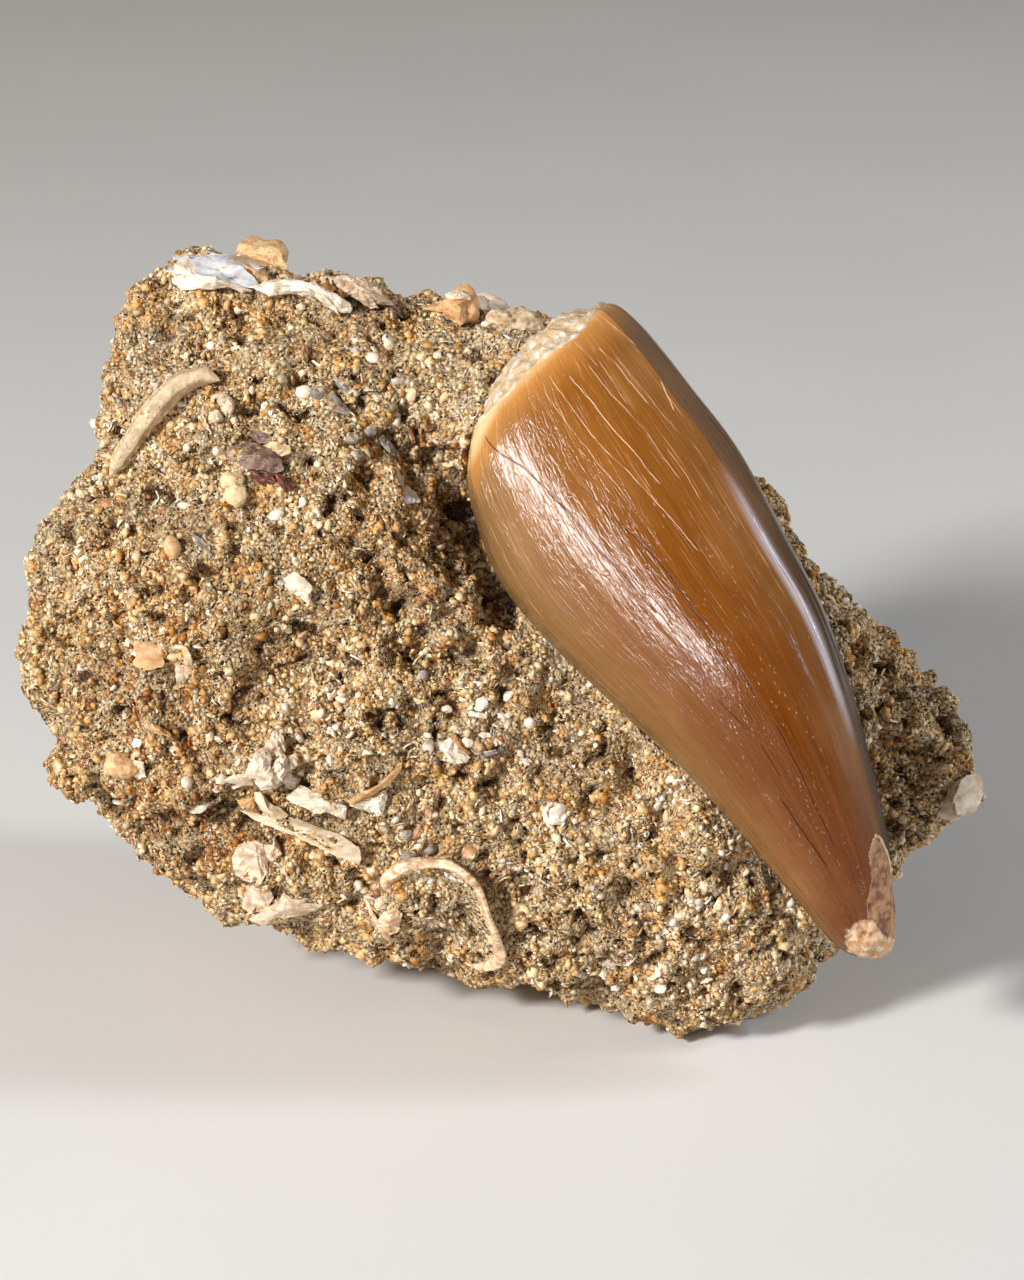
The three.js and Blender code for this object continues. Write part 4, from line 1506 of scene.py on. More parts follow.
@dataclass(frozen=True)
class ShellPlate:
    """One broken sheet of shell lying on the block.

    The middle is u, v and how far it stands over the block, in mm. Pitch and yaw tip it
    about its own length and width, and then spin turns it in the face.
    """

    middle: Triple
    half_length: float
    half_width: float
    spin: float = 0.0
    pitch: float = 0.0
    yaw: float = 0.0
    thick: float = 0.30
    dome: float = 0.3
    ragged: float = 0.2
    growth: float = 0.45
    growth_depth: float = 0.03
    warp: float = 0.12
    seed: float = 0.0

    def add_to(self, target: bmesh.types.BMesh, block: BlockHeights) -> None:
        """Add the plate to a cluster that is built in face mm, on the block."""
        sheet = bmesh.new()
        steps = int(np.clip(7 * self.half_length, 7, 30))
        across = int(np.clip(7 * self.half_width, 6, 24))
        bmesh.ops.create_grid(sheet, x_segments=steps, y_segments=across, size=1)
        for vert in sheet.verts:
            x, y = vert.co.x, vert.co.y
            x, y = x * math.sqrt(1 - y * y / 2), y * math.sqrt(1 - x * x / 2)
            radius, bearing = math.hypot(x, y), math.atan2(y, x)
            spot = (math.cos(bearing) * 1.6, math.sin(bearing) * 1.6, self.seed * 1.7)
            edge = 1 + self.ragged * float(np.clip(noise.fractal(spot, 0.6, 2.2, 5), -0.7, 0.7)) * radius
            x, y = x * edge * self.half_length, y * edge * self.half_width
            rise = self.dome * (1 - radius * radius)
            rise += self.warp * noise.fractal((x * 0.7, y * 0.7, self.seed + 3), 0.8, 2, 3)
            rise += self.growth_depth * math.sin(math.tau * radius * self.half_width / self.growth)
            vert.co = (x, y, rise)
        bmesh.ops.recalc_face_normals(sheet, faces=sheet.faces)
        bmesh.ops.solidify(sheet, geom=sheet.faces, thickness=self.thick)
        block.seat(sheet, self.middle, (self.spin, "Z"), (self.pitch, "X"), (self.yaw, "Y"))
        append_shape(target, sheet)


@dataclass(frozen=True)
class Chip:
    """A faceted chip or splinter: facets that fall from a peak to a broken outline.

    The outline and the peak are places u and v in mm. The rise is the peak's height over
    the block and then the outline's, and thick is how far its sides go down. Level is how
    far the ground under it is evened out, as a share.
    """

    outline: tuple[Pair, ...]
    peak: Pair
    rise: Pair
    thick: float = 0.4
    rough: float = 0.17
    cuts: int = 7
    level: float = 0.3
    edge_jitter: float = 0.07

    def add_to(self, target: bmesh.types.BMesh, block: BlockHeights) -> None:
        """Add the chip to a cluster that is built in face mm, on the block."""
        chip = bmesh.new()
        ground = block.ground([*self.outline, self.peak])
        ground = ground + self.level * (np.quantile(ground, 0.7) - ground)
        corners = [chip.verts.new((u, v, low + self.rise[1]))
                   for (u, v), low in zip(self.outline, ground)]
        sheet = chip.faces.new(corners)
        top = bmesh.ops.poke(chip, faces=[sheet])["verts"][0]
        top.co = (*self.peak, ground[-1] + self.rise[0])
        bmesh.ops.subdivide_edges(chip, edges=chip.edges, cuts=self.cuts, use_grid_fill=True)
        bmesh.ops.smooth_vert(chip, verts=chip.verts, factor=0.35, use_axis_z=True)
        for vert in chip.verts:
            spot = vert.co * 1.5
            jitter = self.edge_jitter if vert.is_boundary else 0.0
            vert.co.x += jitter * noise.noise(spot * 1.6)
            vert.co.y += jitter * noise.noise(spot * 1.6 + Vector((9, 0, 0)))
            vert.co.z += self.rough * noise.fractal(spot * 1.4, 0.6, 2.2, 5)
        sheet = bmesh.ops.extrude_face_region(chip, geom=chip.faces)["geom"]
        lower = [item for item in sheet if isinstance(item, bmesh.types.BMVert)]
        bmesh.ops.translate(chip, verts=lower, vec=(0, 0, -self.thick))
        bmesh.ops.recalc_face_normals(chip, faces=chip.faces)
        append_shape(target, chip)


@dataclass(frozen=True)
class ShellEdge:
    """A shell seen edge on: a thin wall that follows a path and stands out of the block.

    Each row of the path is u, v, the wall's height over the block and its half thickness.
    """

    path: tuple[tuple[float, float, float, float], ...]
    root: float = 0.9
    lean: float = 0.0
    squareness: float = 0.55
    jag: float = 0.06
    marks: float = 0.04
    mark_spacing: float = 0.5
    seed: float = 0.0
    steps: int = 60
    evened_over: int = 9

    def add_to(self, target: bmesh.types.BMesh, block: BlockHeights) -> None:
        """Add the wall to a cluster that is built in face mm, on the block."""
        wall = bmesh.new()
        bmesh.ops.create_cone(wall, cap_ends=True, segments=14, radius1=1, radius2=1, depth=2)
        long_edges = [edge for edge in wall.edges if abs(edge.verts[0].co.z - edge.verts[1].co.z) > 1]
        bmesh.ops.subdivide_edges(wall, edges=long_edges, cuts=self.steps - 1, use_grid_fill=True)
        last = len(self.path) - 1
        shares = np.linspace(0, 1, self.steps + 1)
        rows = smooth_rows(self.path, shares * last)
        heights = np.array([block.height(row[0], row[1]) for row in rows])
        ground = np.where(np.isnan(heights), np.nanmean(heights), heights)
        kernel = np.ones(self.evened_over) / self.evened_over
        ground = np.convolve(np.pad(ground, self.evened_over // 2, mode="edge"), kernel, mode="valid")
        forward = np.gradient(rows[:, :2], axis=0)
        forward /= np.linalg.norm(forward, axis=1)[:, None]
        lengths = np.cumsum(np.r_[0, np.linalg.norm(np.diff(rows[:, :2], axis=0), axis=1)])
        for vert in wall.verts:
            index = int(round((1 - vert.co.z) / 2 * self.steps))
            u, v, rise, half = rows[index]
            closing = min(1.0, (min(index, self.steps - index) + 0.35) / (0.06 * self.steps)) ** 0.5
            across = math.copysign(abs(vert.co.x) ** self.squareness, vert.co.x) * half * closing
            up = math.copysign(abs(vert.co.y) ** self.squareness, vert.co.y)
            ragged = self.jag * noise.fractal((lengths[index] * 2.2, self.seed, up), 0.7, 2, 4)
            across += self.marks * math.sin(math.tau * lengths[index] / self.mark_spacing)
            w = ground[index] + (rise * closing + ragged if up > 0 else self.root) * up
            across += self.lean * (w - ground[index])
            side = (-forward[index][1], forward[index][0])
            vert.co = (u + side[0] * across, v + side[1] * across, w)
        bmesh.ops.recalc_face_normals(wall, faces=wall.faces)
        append_shape(target, wall)


@dataclass(frozen=True)
class Lump:
    """A rounded or angular lump of shell, bone or stone set in the block."""

    middle: Triple
    size: Triple
    spin: float = 0.0
    rough: float = 0.12
    scale: float = 1.2
    seed: float = 0.0

    def add_to(self, target: bmesh.types.BMesh, block: BlockHeights) -> None:
        """Add the lump to a cluster that is built in face mm, on the block."""
        lump = bmesh.new()
        detail = 3 if max(self.size) < 1.0 else 4
        bmesh.ops.create_icosphere(lump, subdivisions=detail, radius=1)
        for vert in lump.verts:
            spot = vert.co * self.scale + Vector((self.seed, 2 * self.seed, 5.3))
            reach = 1 + self.rough * (noise.fractal(spot, 0.7, 2.1, 4) + 0.4 * noise.noise(spot * 0.6))
            vert.co = Vector((vert.co[axis] * reach * self.size[axis] for axis in range(3)))
        block.seat(lump, self.middle, (self.spin, "Z"))
        append_shape(target, lump)


@dataclass(frozen=True)
class Core:
    """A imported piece's own body, roughened, that the chips of a cluster lie on."""

    node: str
    rough: float = 0.16
    grain: float = 1.4
    voxel: float = 0.17
    swell: float = 0.05

    def add_to(self, target: bmesh.types.BMesh, block: BlockHeights) -> None:
        """Add the body to a cluster that is built in face mm."""
        body = merged_copy([self.node], "core")
        even_mesh(body, self.voxel, 3)
        mesh = body.data
        points, normals = read_points(mesh), read_normals(mesh)
        place = FACE.from_row(points)
        out = self.swell + self.rough * fractal(place, self.grain, 4, 2.0)
        write_points(mesh, FACE.from_row(points + normals * (out * MM)[:, None]))
        core = bmesh.new()
        core.from_mesh(mesh)
        bpy.data.objects.remove(body)
        append_shape(target, core)


def append_shape(target: bmesh.types.BMesh, shape: bmesh.types.BMesh) -> None:
    """Add one bmesh to another and free it."""
    mesh = mesh_of(shape, "part")
    target.from_mesh(mesh)
    bpy.data.meshes.remove(mesh)


@dataclass(frozen=True)
class Cluster:
    """Broken plates, edges and lumps of one shell, joined as one piece.

    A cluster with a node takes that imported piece's place.
    """

    name: str
    slot: str
    finish: str
    parts: tuple[ShellPlate | ShellEdge | Chip | Lump | Core, ...]
    node: str = ""
    dust_reach: float = 0.25
    crease: float = math.radians(32)

    def build(self, finishes: dict[str, Material], block: BlockHeights) -> Object:
        """Return the cluster, standing on the block."""
        shape = bmesh.new()
        for part in self.parts:
            part.add_to(shape, block)
        bmesh.ops.triangulate(shape, faces=shape.faces)
        bmesh.ops.transform(shape, verts=shape.verts, matrix=FACE.matrix())
        mesh = mesh_of(shape, self.name)
        shade_smooth(mesh)
        mesh.set_sharp_from_angle(angle=self.crease)
        block.dust(mesh, self.dust_reach)
        return hand_over(link_piece(self.name, mesh), finishes[self.finish], self.node)


def folds(middle: Pair, reach: Pair, count: int, size: float, seed: int, steep: float,
          lift: float) -> tuple[ShellPlate, ...]:
    """Return small crumpled plates strewn round a place.

    Args:
        middle: Their middle, u and v in mm.
        reach: How far they lie from it along u and v.
        count: How many there are.
        size: Their usual half length in mm.
        seed: Picks one arrangement.
        steep: The most that one is tipped, in degrees.
        lift: The usual height over the block in mm.

    Returns:
        The plates.
    """
    rng = np.random.default_rng(seed)
    plates = []
    for index in range(count):
        bearing, share = rng.uniform(0, math.tau), math.sqrt(rng.random())
        length = size * rng.uniform(0.6, 1.4)
        u = middle[0] + reach[0] * share * math.cos(bearing)
        v = middle[1] + reach[1] * share * math.sin(bearing)
        plates.append(ShellPlate(
            (u, v, lift * rng.uniform(0.2, 1.6)),
            length, length * rng.uniform(0.45, 0.85), spin=rng.uniform(0, 360),
            pitch=rng.uniform(-steep, steep), yaw=rng.uniform(-steep, steep) * 0.5,
            thick=rng.uniform(0.16, 0.34), dome=0.35 * length, ragged=0.3, warp=0.2, seed=seed + index))
    return tuple(plates)


# --- Which pieces there are and where they lie -----------------------------------------

WORN_PIECES = (
    WornPiece("rib_bone", "grey_bone", "grey_bone", Skin.SMOOTH, 0.16, 1.2, swell=0.0, dust_reach=0.5),
    WornPiece("porous_bone", "pink_shell", "bone", Skin.POROUS, 0.12, 0.8),
    WornPiece("ledge_pebble", "tan_stone", "tan_stone", Skin.LUMPY, 0.14, 1.0, swell=0.0),
)

CLUSTERS = (
    Cluster("oyster_valve", "grey_shell", "grey_shell", (
        Core("oyster_shell", rough=0.13, swell=-0.15),
        Chip(((-23.8, 28.1), (-22.4, 28.4), (-21.1, 27.9), (-19.9, 27.5), (-19.1, 26.8), (-18.6, 26.2),
              (-19.6, 25.9), (-20.7, 26.3), (-21.7, 26.6), (-23.1, 26.8), (-23.4, 27.5)),
             (-21.3, 27), (0.4, 0.8), 0.7, rough=0.08),
    ), "oyster_shell"),
    Cluster("white_ledge", "cream_shell", "bright_shell", (
        Core("shell_ledge", rough=0.18, grain=0.8),
        Chip(((-24.1, 28.5), (-23.7, 28.1), (-23.3, 27.4), (-23.1, 26.6), (-23.3, 25.9), (-24.3, 25.8),
              (-24.8, 26.2), (-25.1, 26.4), (-25.3, 27.1), (-24.8, 27.8)), (-24.1, 27.3), (1.1, 0.5), 1.2),
        Chip(((-24.6, 26.6), (-23.2, 26.8), (-21.7, 26.6), (-20.7, 26.3), (-19.6, 25.9), (-19.1, 25.7),
              (-19.9, 25.6), (-20.9, 26), (-21.9, 25.8), (-23.2, 25.8), (-24.3, 25.8)),
             (-21.7, 26.3), (1, 0.6), 0.7),
        Chip(((-19.6, 25.9), (-18.7, 26.1), (-18.2, 26.4), (-17.1, 26.6), (-16.3, 26.4), (-15.6, 25.8),
              (-16.3, 25.4), (-17.1, 25.3), (-17.7, 25.2), (-18.3, 25.5), (-18.9, 25.8)),
             (-17.3, 26), (1.1, 0.6), 0.7),
        Chip(((-16.4, 26.3), (-15.2, 25.8), (-14.4, 25.5), (-13.6, 25.1), (-13, 24.4), (-12.6, 23.8),
              (-13.4, 24.3), (-14.4, 25.1), (-15.4, 25.4), (-16.2, 25.5)), (-15, 25.5), (0.95, 0.6), 0.7),
        Chip(((-15.4, 26), (-13.8, 25.8), (-12.8, 25.1), (-11.7, 24.4), (-11.9, 24), (-12.9, 24),
              (-13.7, 24.9), (-15, 25.5)), (-13.2, 25), (0.7, 0.35), 0.5),
    ), "shell_ledge"),
    Cluster("rim_plates", "pink_shell", "pink_shell", (
        Core("top_shell_rim", rough=0.3, grain=0.8),
        Chip(((-17.1, 26.8), (-15.7, 27.3), (-15, 27), (-15.2, 26.6), (-16.2, 26.5)),
             (-15.8, 27), (0.8, 0.45), 0.4),
        Chip(((-13.7, 26.8), (-13.2, 26.9), (-11.7, 26.3), (-12.4, 26), (-13, 26.2)),
             (-12.7, 26.4), (0.8, 0.4), 0.4),
        Chip(((-11.7, 26.2), (-10.8, 26.1), (-9.7, 25.6), (-8.9, 25), (-8.7, 24.7), (-9.5, 24.7),
              (-10.4, 25.2), (-11.3, 25.7)), (-10.2, 25.4), (1, 0.45), 0.8),
        Chip(((-12.2, 25.8), (-11.3, 25.7), (-10.3, 25.1), (-9.8, 24.5), (-10.4, 24.4), (-11.2, 24.9),
              (-12, 25.4)), (-11, 25.1), (0.7, 0.35), 0.5),
        *folds((-13.9, 26.4), (1.6, 0.6), 6, 0.4, 41, 50, 0.3),
    ), "top_shell_rim"),
    Cluster("tan_agate", "tan_stone", "tan_stone", (
        Core("tan_stone"),
        Chip(((-21, 28.3), (-19.9, 28.8), (-19.1, 29.2), (-18.2, 29.3), (-17.4, 29.3), (-17.1, 28.5),
              (-16.6, 27.5), (-16.4, 27.1), (-16.8, 26.8), (-17.3, 26.6), (-18, 26.7), (-18.4, 27.3),
              (-19.1, 27.4), (-19.9, 27.7), (-20.5, 28.1)), (-18.1, 28.1), (1.3, 0.6), 1.8),
        Chip(((-19.9, 27.8), (-19.1, 27.9), (-18.3, 27.3), (-18, 26.6), (-18.7, 26.3), (-19.4, 26.8)),
             (-18.9, 27.2), (0.7, 0.4), 0.6),
    ), "tan_stone"),
    Cluster("honey_wedge", "honey_shell", "honey_shell", (
        Core("honey_shell"),
        Chip(((-5.4, 25.1), (-4.5, 25.1), (-3.1, 25.1), (-2.8, 24.9), (-3.4, 24.4), (-3.4, 23.4),
              (-3.8, 23.1), (-4.3, 23.4), (-4.7, 24.1), (-5.4, 24.4)), (-4, 24.6), (1.2, 0.4), 1.2),
        Chip(((-6.7, 24.6), (-5.6, 25.1), (-4.9, 25.1), (-4.6, 24.1), (-5.6, 24.3)),
             (-5.5, 24.7), (0.6, 0.25), 0.5),
    ), "honey_shell"),
    Cluster("white_chip", "white_shell", "white_shell", (
        Core("white_shell_chip"),
        Chip(((-3, 25.5), (-2.2, 25.6), (-1.3, 25.1), (-0.7, 24.4), (-1.2, 24.2), (-2.2, 24.4), (-2.8, 24.9)),
             (-2, 25.1), (0.9, 0.35), 0.8),
        Chip(((-4.9, 25.5), (-4, 25.8), (-3.1, 25.4), (-3, 25), (-4.3, 25), (-4.8, 25.1)),
             (-4, 25.4), (1.3, 0.7), 0.9),
        Chip(((-2, 24.3), (-0.8, 24.3), (0.6, 24.1), (1.2, 23.8), (-0.8, 23.9), (-1.8, 24)),
             (-0.6, 24.1), (0.5, 0.25), 0.4),
    ), "white_shell_chip"),
    Cluster("brown_phosphate", "umber_nodule", "umber_nodule", (
        Chip(((-20.6, 13.6), (-20.2, 14), (-19.3, 14.2), (-19.1, 14.4), (-18.2, 14.1), (-17.2, 13.6),
              (-16.6, 13), (-16.4, 12.2), (-17, 12), (-17.9, 12.2), (-19.1, 12.3), (-19.7, 12.7),
              (-20.5, 13)), (-18.3, 13.3), (1, 0.5), 1, rough=0.12),
        Chip(((-19.1, 14.9), (-18.3, 15.2), (-17.5, 14.9), (-17.2, 14.2), (-18.3, 14.2)),
             (-18.2, 14.7), (0.6, 0.3), 0.5, rough=0.1),
    ), "brown_nodule", dust_reach=0.12),
    Cluster("red_phosphate", "rust_nodule", "rust_nodule", (
        Chip(((-18.9, 12.3), (-17.3, 12), (-17, 11.3), (-17.9, 11.1), (-18.7, 11.6)),
             (-18, 11.7), (0.75, 0.35), 0.6, rough=0.1),
        Chip(((-17.1, 12), (-16.2, 11.8), (-15.7, 10.8), (-16.3, 10.6), (-16.8, 11.2)),
             (-16.4, 11.3), (0.85, 0.35), 0.6, rough=0.1),
    ), "red_nodule", dust_reach=0.12),
    Cluster("cream_phosphate", "cream_shell", "cream_nodule", (
        Lump((-20.2, 11.5, 0.15), (0.85, 0.65, 0.55), 10, 0.25, 1.6, 1.0),
        Lump((-19.9, 10.5, 0.15), (0.8, 0.85, 0.55), 0, 0.25, 1.6, 2.0),
        Chip(((-18, 14), (-17.1, 14.3), (-16.1, 14), (-15.9, 13.5), (-16.7, 13.2), (-17.3, 13.6)),
             (-16.9, 13.8), (0.6, 0.35), 0.4),
    ), "cream_nodule"),
    Cluster("knob_pair", "cream_shell", "cream_shell", (
        Lump((-21.2, 17.4, 0.15), (0.78, 0.55, 0.5), 20, 0.28, 1.8, 3.0),
        Lump((-20.7, 16.9, 0.1), (0.5, 0.7, 0.45), 0, 0.28, 1.8, 4.0),
        Lump((-21.5, 16.2, 0.1), (0.5, 0.45, 0.4), 0, 0.28, 1.8, 5.0),
        ShellEdge(((-22.6, 17.1, 0.3, 0.08), (-22.3, 16.0, 0.4, 0.12), (-21.8, 14.9, 0.3, 0.08)),
                  0.5, steps=24),
    ), "knob_shell"),
    Cluster("grey_shard", "grey_shell", "grey_shell", (
        Chip(((-8.9, 11.1), (-7.7, 11.3), (-6.9, 10.6), (-6.6, 10), (-7.7, 9.8), (-8.7, 10.6)),
             (-7.8, 10.6), (0.7, 0.3), 0.6),
        Chip(((-9, 12.8), (-8.3, 12.4), (-7.7, 11.4), (-7.9, 11), (-8.7, 11.4)),
             (-8.4, 11.9), (0.5, 0.25), 0.5),
    ), "grey_flake"),
    Cluster("tan_egg", "tan_stone", "tan_stone", (
        Lump((-24.5, 6.7, 0.2), (0.62, 0.85, 0.6), 15, 0.08, 1, 6.0),
    ), "tan_pebble", dust_reach=0.15),
    Cluster("barnacle_crust", "white_shell", "white_shell", (
        Lump((-17.1, -7.8, 0.30), (0.70, 1.00, 0.70), 8, 0.35, 1.7, 7.0),
        Lump((-18.1, -8.7, 0.25), (0.75, 0.80, 0.65), -18, 0.35, 1.7, 8.0),
        Lump((-16.7, -9.3, 0.35), (0.62, 0.95, 0.75), -12, 0.35, 1.7, 9.0),
        Lump((-17.6, -10.1, 0.35), (0.85, 0.70, 0.70), 0, 0.35, 1.8, 10.0),
        Lump((-18.5, -9.4, 0.20), (0.65, 0.60, 0.55), 0, 0.35, 1.8, 11.0),
        Lump((-16.0, -10.2, 0.25), (0.65, 0.50, 0.55), -20, 0.35, 1.8, 12.0),
        Lump((-15.9, -8.8, 0.15), (0.60, 0.55, 0.50), 0, 0.35, 1.8, 12.5),
        Chip(((-20.9, -10.2), (-20.1, -9.7), (-19.0, -9.6), (-18.6, -10.0), (-18.7, -10.5), (-19.9, -10.6)),
             (-19.0, -9.8), (0.9, 0.4), 0.5),
        Chip(((-16.4, -11.4), (-15.3, -10.5), (-13.9, -11.1), (-12.6, -11.6), (-11.9, -12.1),
              (-12.1, -13.0), (-12.6, -12.8), (-13.3, -12.5), (-14.3, -12.6), (-15.0, -12.1), (-15.9, -11.8)),
             (-13.3, -11.7), (1.3, 0.8), 0.7, level=0.7),
        *folds((-17.3, -9.1), (1.3, 1.3), 12, 0.42, 43, 70, 0.5),
    ), "white_crust"),
    Cluster("long_blade", "cream_shell", "cream_shell", (
        Chip(((-19.8, -12.3), (-18.6, -12.7), (-17.1, -12.7), (-15.4, -13.0), (-13.9, -13.6),
              (-12.6, -14.0), (-11.1, -15.0), (-10.9, -15.8), (-11.1, -16.3), (-12.6, -15.7),
              (-14.3, -14.9), (-15.9, -14.1), (-17.3, -13.6), (-18.7, -13.0)),
             (-15.4, -13.4), (1.3, 0.85), 1.2, 0.03, level=0.95),
        Chip(((-18.7, -11.0), (-18.2, -11.0), (-17.6, -11.8), (-16.9, -12.1), (-16.2, -12.7),
              (-16.6, -13.1), (-17.2, -13.3), (-18.2, -12.3), (-18.6, -11.7)),
             (-17.6, -12.3), (1.5, 0.9), 1.2, 0.05, level=0.85),
    ), "shell_blade"),
    Cluster("tan_fan", "honey_shell", "honey_shell", (
        Chip(((-20.1, -11.7), (-18.6, -11.3), (-18.7, -12.2), (-19.0, -12.7), (-19.8, -12.3)),
             (-18.7, -11.5), (1.2, 0.5), 0.6, level=0.6),
        Chip(((-26.9, -6), (-26.2, -5.9), (-25, -6.6), (-24.6, -7.2), (-26.2, -6.6)),
             (-25.8, -6.4), (0.6, 0.3), 0.5),
        Chip(((-11.9, -11.6), (-10.6, -10.9), (-9.4, -10.3), (-8.6, -9.4), (-7.9, -9.1), (-8.1, -9.5),
              (-8.9, -10.5), (-9.9, -11.1), (-11.6, -11.9)),
             (-9.8, -10.6), (1.3, 0.8), 0.7, 0.05, level=0.8),
    )),
    Cluster("branching_shell", "white_shell", "bright_shell", (
        Chip(((-11.8, -11.9), (-10.9, -11.5), (-9.9, -11.1), (-9.1, -10.8), (-9.0, -11.5), (-9.4, -12.7),
              (-9.9, -12.5), (-10.3, -12.2), (-11.1, -12.2)), (-9.8, -11.5), (1.2, 0.6), 0.7, level=0.7),
        *folds((-9.9, -11.9), (0.9, 0.5), 5, 0.35, 45, 60, 0.5),
    ), "branch_shell"),
    Cluster("upper_fan", "pink_shell", "pink_shell", (
        Chip(((-20.6, -16.0), (-20.1, -15.0), (-18.8, -14.7), (-18.1, -15.0), (-17.8, -16.0),
              (-17.9, -17.0), (-18.4, -17.9), (-19.6, -17.7), (-20.4, -17.2)),
             (-18.7, -15.5), (1.2, 0.4), 0.8, level=0.6),
        Chip(((-18.2, -15.0), (-17.6, -15.0), (-17.4, -14.3), (-16.8, -15.7), (-17.6, -16.2), (-17.9, -16.0)),
             (-17.4, -15.0), (1.0, 0.4), 0.6, level=0.6),
    ), "upper_fan_shell"),
    Cluster("lower_fan", "pink_shell", "pink_shell", (
        Chip(((-19.5, -20.7), (-18.2, -19.8), (-17.4, -19.4), (-16.8, -18.6), (-16.2, -19), (-15.2, -19.3),
              (-13.9, -19.5), (-14.5, -20), (-15.4, -20.3), (-16.6, -20.5), (-17.2, -20.9), (-18.4, -21.1),
              (-19.1, -20.9)), (-16.8, -19.8), (1, 0.4), 0.7, rough=0.1, level=0.6),
        Chip(((-19.7, -18.6), (-18.9, -17.8), (-17.8, -18.4), (-17.6, -19), (-18, -19.8), (-19.3, -20.3),
              (-20, -19.8)), (-18.6, -18.9), (0.8, 0.35), 0.6, rough=0.08, level=0.6),
    ), "lower_fan_shell"),
    Cluster("valve_arc", "cream_shell", "pearl_shell", (
        ShellEdge(((-8.8, -18.4, 0.7, 0.31), (-9.1, -17.6, 1.0, 0.5), (-8.4, -16.9, 1.2, 0.56),
                   (-7.3, -16.4, 1.3, 0.56), (-6.0, -16.3, 1.3, 0.53), (-4.6, -16.4, 1.3, 0.45),
                   (-3.5, -17.0, 1.25, 0.4), (-2.7, -17.8, 1.2, 0.36), (-2.2, -18.8, 1.2, 0.30),
                   (-1.8, -20.0, 1.2, 0.28), (-1.3, -21.2, 1.2, 0.30), (-1.0, -22.3, 1.2, 0.38),
                   (-0.9, -23.2, 1.1, 0.50), (-1.4, -23.8, 1.0, 0.48), (-2.3, -24.1, 0.8, 0.32),
                   (-3.6, -23.9, 0.5, 0.16)), 1.0, 0.1, 0.62, 0.08, 0.02, 0.45, 6.0, 150),
    ), "arc_shell"),
    Cluster("pink_vee", "pink_shell", "pearl_shell", (
        ShellEdge(((-10.8, -18.7, 0.3, 0.1), (-10.4, -19.8, 0.7, 0.17), (-9.8, -20.9, 0.8, 0.2),
                   (-9.1, -21.9, 0.7, 0.2), (-8.4, -22.1, 0.4, 0.12)),
                  0.8, 0.1, 0.5, 0.05, 0.02, 0.5, 8.0, 44),
        Chip(((-9.8, -20.5), (-9.3, -19.8), (-8.4, -19.5), (-8, -20), (-8.3, -21.3), (-8.9, -21.7),
              (-9.6, -21.1)), (-9, -20.4), (0.75, 0.35), 0.5),
    ), "pink_flake"),
    Cluster("pale_bits", "white_shell", "bright_shell", (
        Chip(((-5.6, -7.4), (-4.8, -7.2), (-4.4, -7), (-3.7, -7.8), (-3, -8.5), (-3.2, -8.8), (-4.2, -9),
              (-5.4, -8.5)), (-4.5, -8), (0.75, 0.35), 0.5),
        Lump((-11.3, -18, 0.15), (0.42, 0.4, 0.35), 30, 0.12, 1.4, 13.0),
        Lump((-15.1, 18, 0.1), (0.62, 0.52, 0.42), 0, 0.1, 1.2, 14.0),
        Lump((-15, 9.9, 0.1), (0.33, 0.42, 0.35), 10, 0.12, 1.3, 15.0),
        Lump((-23.6, 9.7, 0.1), (0.65, 0.32, 0.35), -10, 0.12, 1.3, 16.0),
        Lump((-16.9, 9, 0.15), (0.6, 0.4, 0.4), 25, 0.12, 1.3, 17.0),
        Lump((-23.6, 14, 0.1), (0.3, 0.32, 0.3), 0, 0.2, 1.3, 18.0),
        Lump((-22, 21.6, 0.1), (0.42, 0.36, 0.3), 0, 0.2, 1.3, 19.0),
        Lump((-10.3, 20.6, 0.05), (0.7, 0.4, 0.3), -15, 0.2, 1.3, 20.0),
        Lump((-21.4, 13.7, 0.05), (0.35, 0.35, 0.3), 0, 0.2, 1.3, 21.0),
        Lump((-14, 12.7, 0.1), (0.33, 0.3, 0.3), 0, 0.2, 1.3, 22.0),
        Lump((-13.8, -5.3, 0.1), (0.3, 0.4, 0.3), -20, 0.2, 1.3, 23.0),
        Lump((-4.8, -5, 0.1), (0.5, 0.35, 0.3), 0, 0.25, 1.3, 24.0),
        Lump((-2.2, -4.6, 0.1), (0.6, 0.5, 0.4), 30, 0.25, 1.3, 25.0),
        Lump((-3.2, -7.4, 0.1), (0.5, 0.35, 0.3), -30, 0.25, 1.3, 26.0),
        Lump((-22.9, -12.1, 0.05), (0.8, 0.5, 0.35), 25, 0.25, 1.3, 27.0),
        Chip(((-27.6, -8.7), (-26.9, -8.9), (-26.7, -10), (-27.2, -10.2), (-27.7, -9.4)),
             (-27.2, -9.4), (0.7, 0.35), 0.4),
        *folds((-1.2, -5.6), (2.6, 2.0), 14, 0.38, 47, 45, 0.1),
        *folds((-4.6, -7.6), (2.4, 1.2), 8, 0.38, 48, 45, 0.1),
        *folds((-12.0, -6.4), (5.0, 3.0), 10, 0.36, 49, 50, 0.1),
        *folds((16.5, -15.6), (2.2, 1.4), 8, 0.38, 50, 45, 0.1),
        *folds((11.0, -24.5), (4.5, 1.6), 12, 0.38, 51, 45, 0.1),
        *folds((-28.0, 2.0), (6.0, 8.0), 12, 0.36, 52, 45, 0.1),
        *folds((-24.0, -9.0), (5.0, 2.5), 14, 0.38, 53, 45, 0.1),
    )),
    Cluster("amber_bits", "rust_nodule", "amber_stone", (
        Chip(((-15.8, 26.5), (-15, 26.6), (-14.7, 26.1), (-15.4, 25.9)), (-15.2, 26.3), (0.6, 0.35), 0.4),
        Chip(((-14.3, 26.1), (-13.4, 26.3), (-12.9, 25.8), (-13.4, 25.3), (-14, 25.5)),
             (-13.6, 25.8), (0.7, 0.35), 0.4),
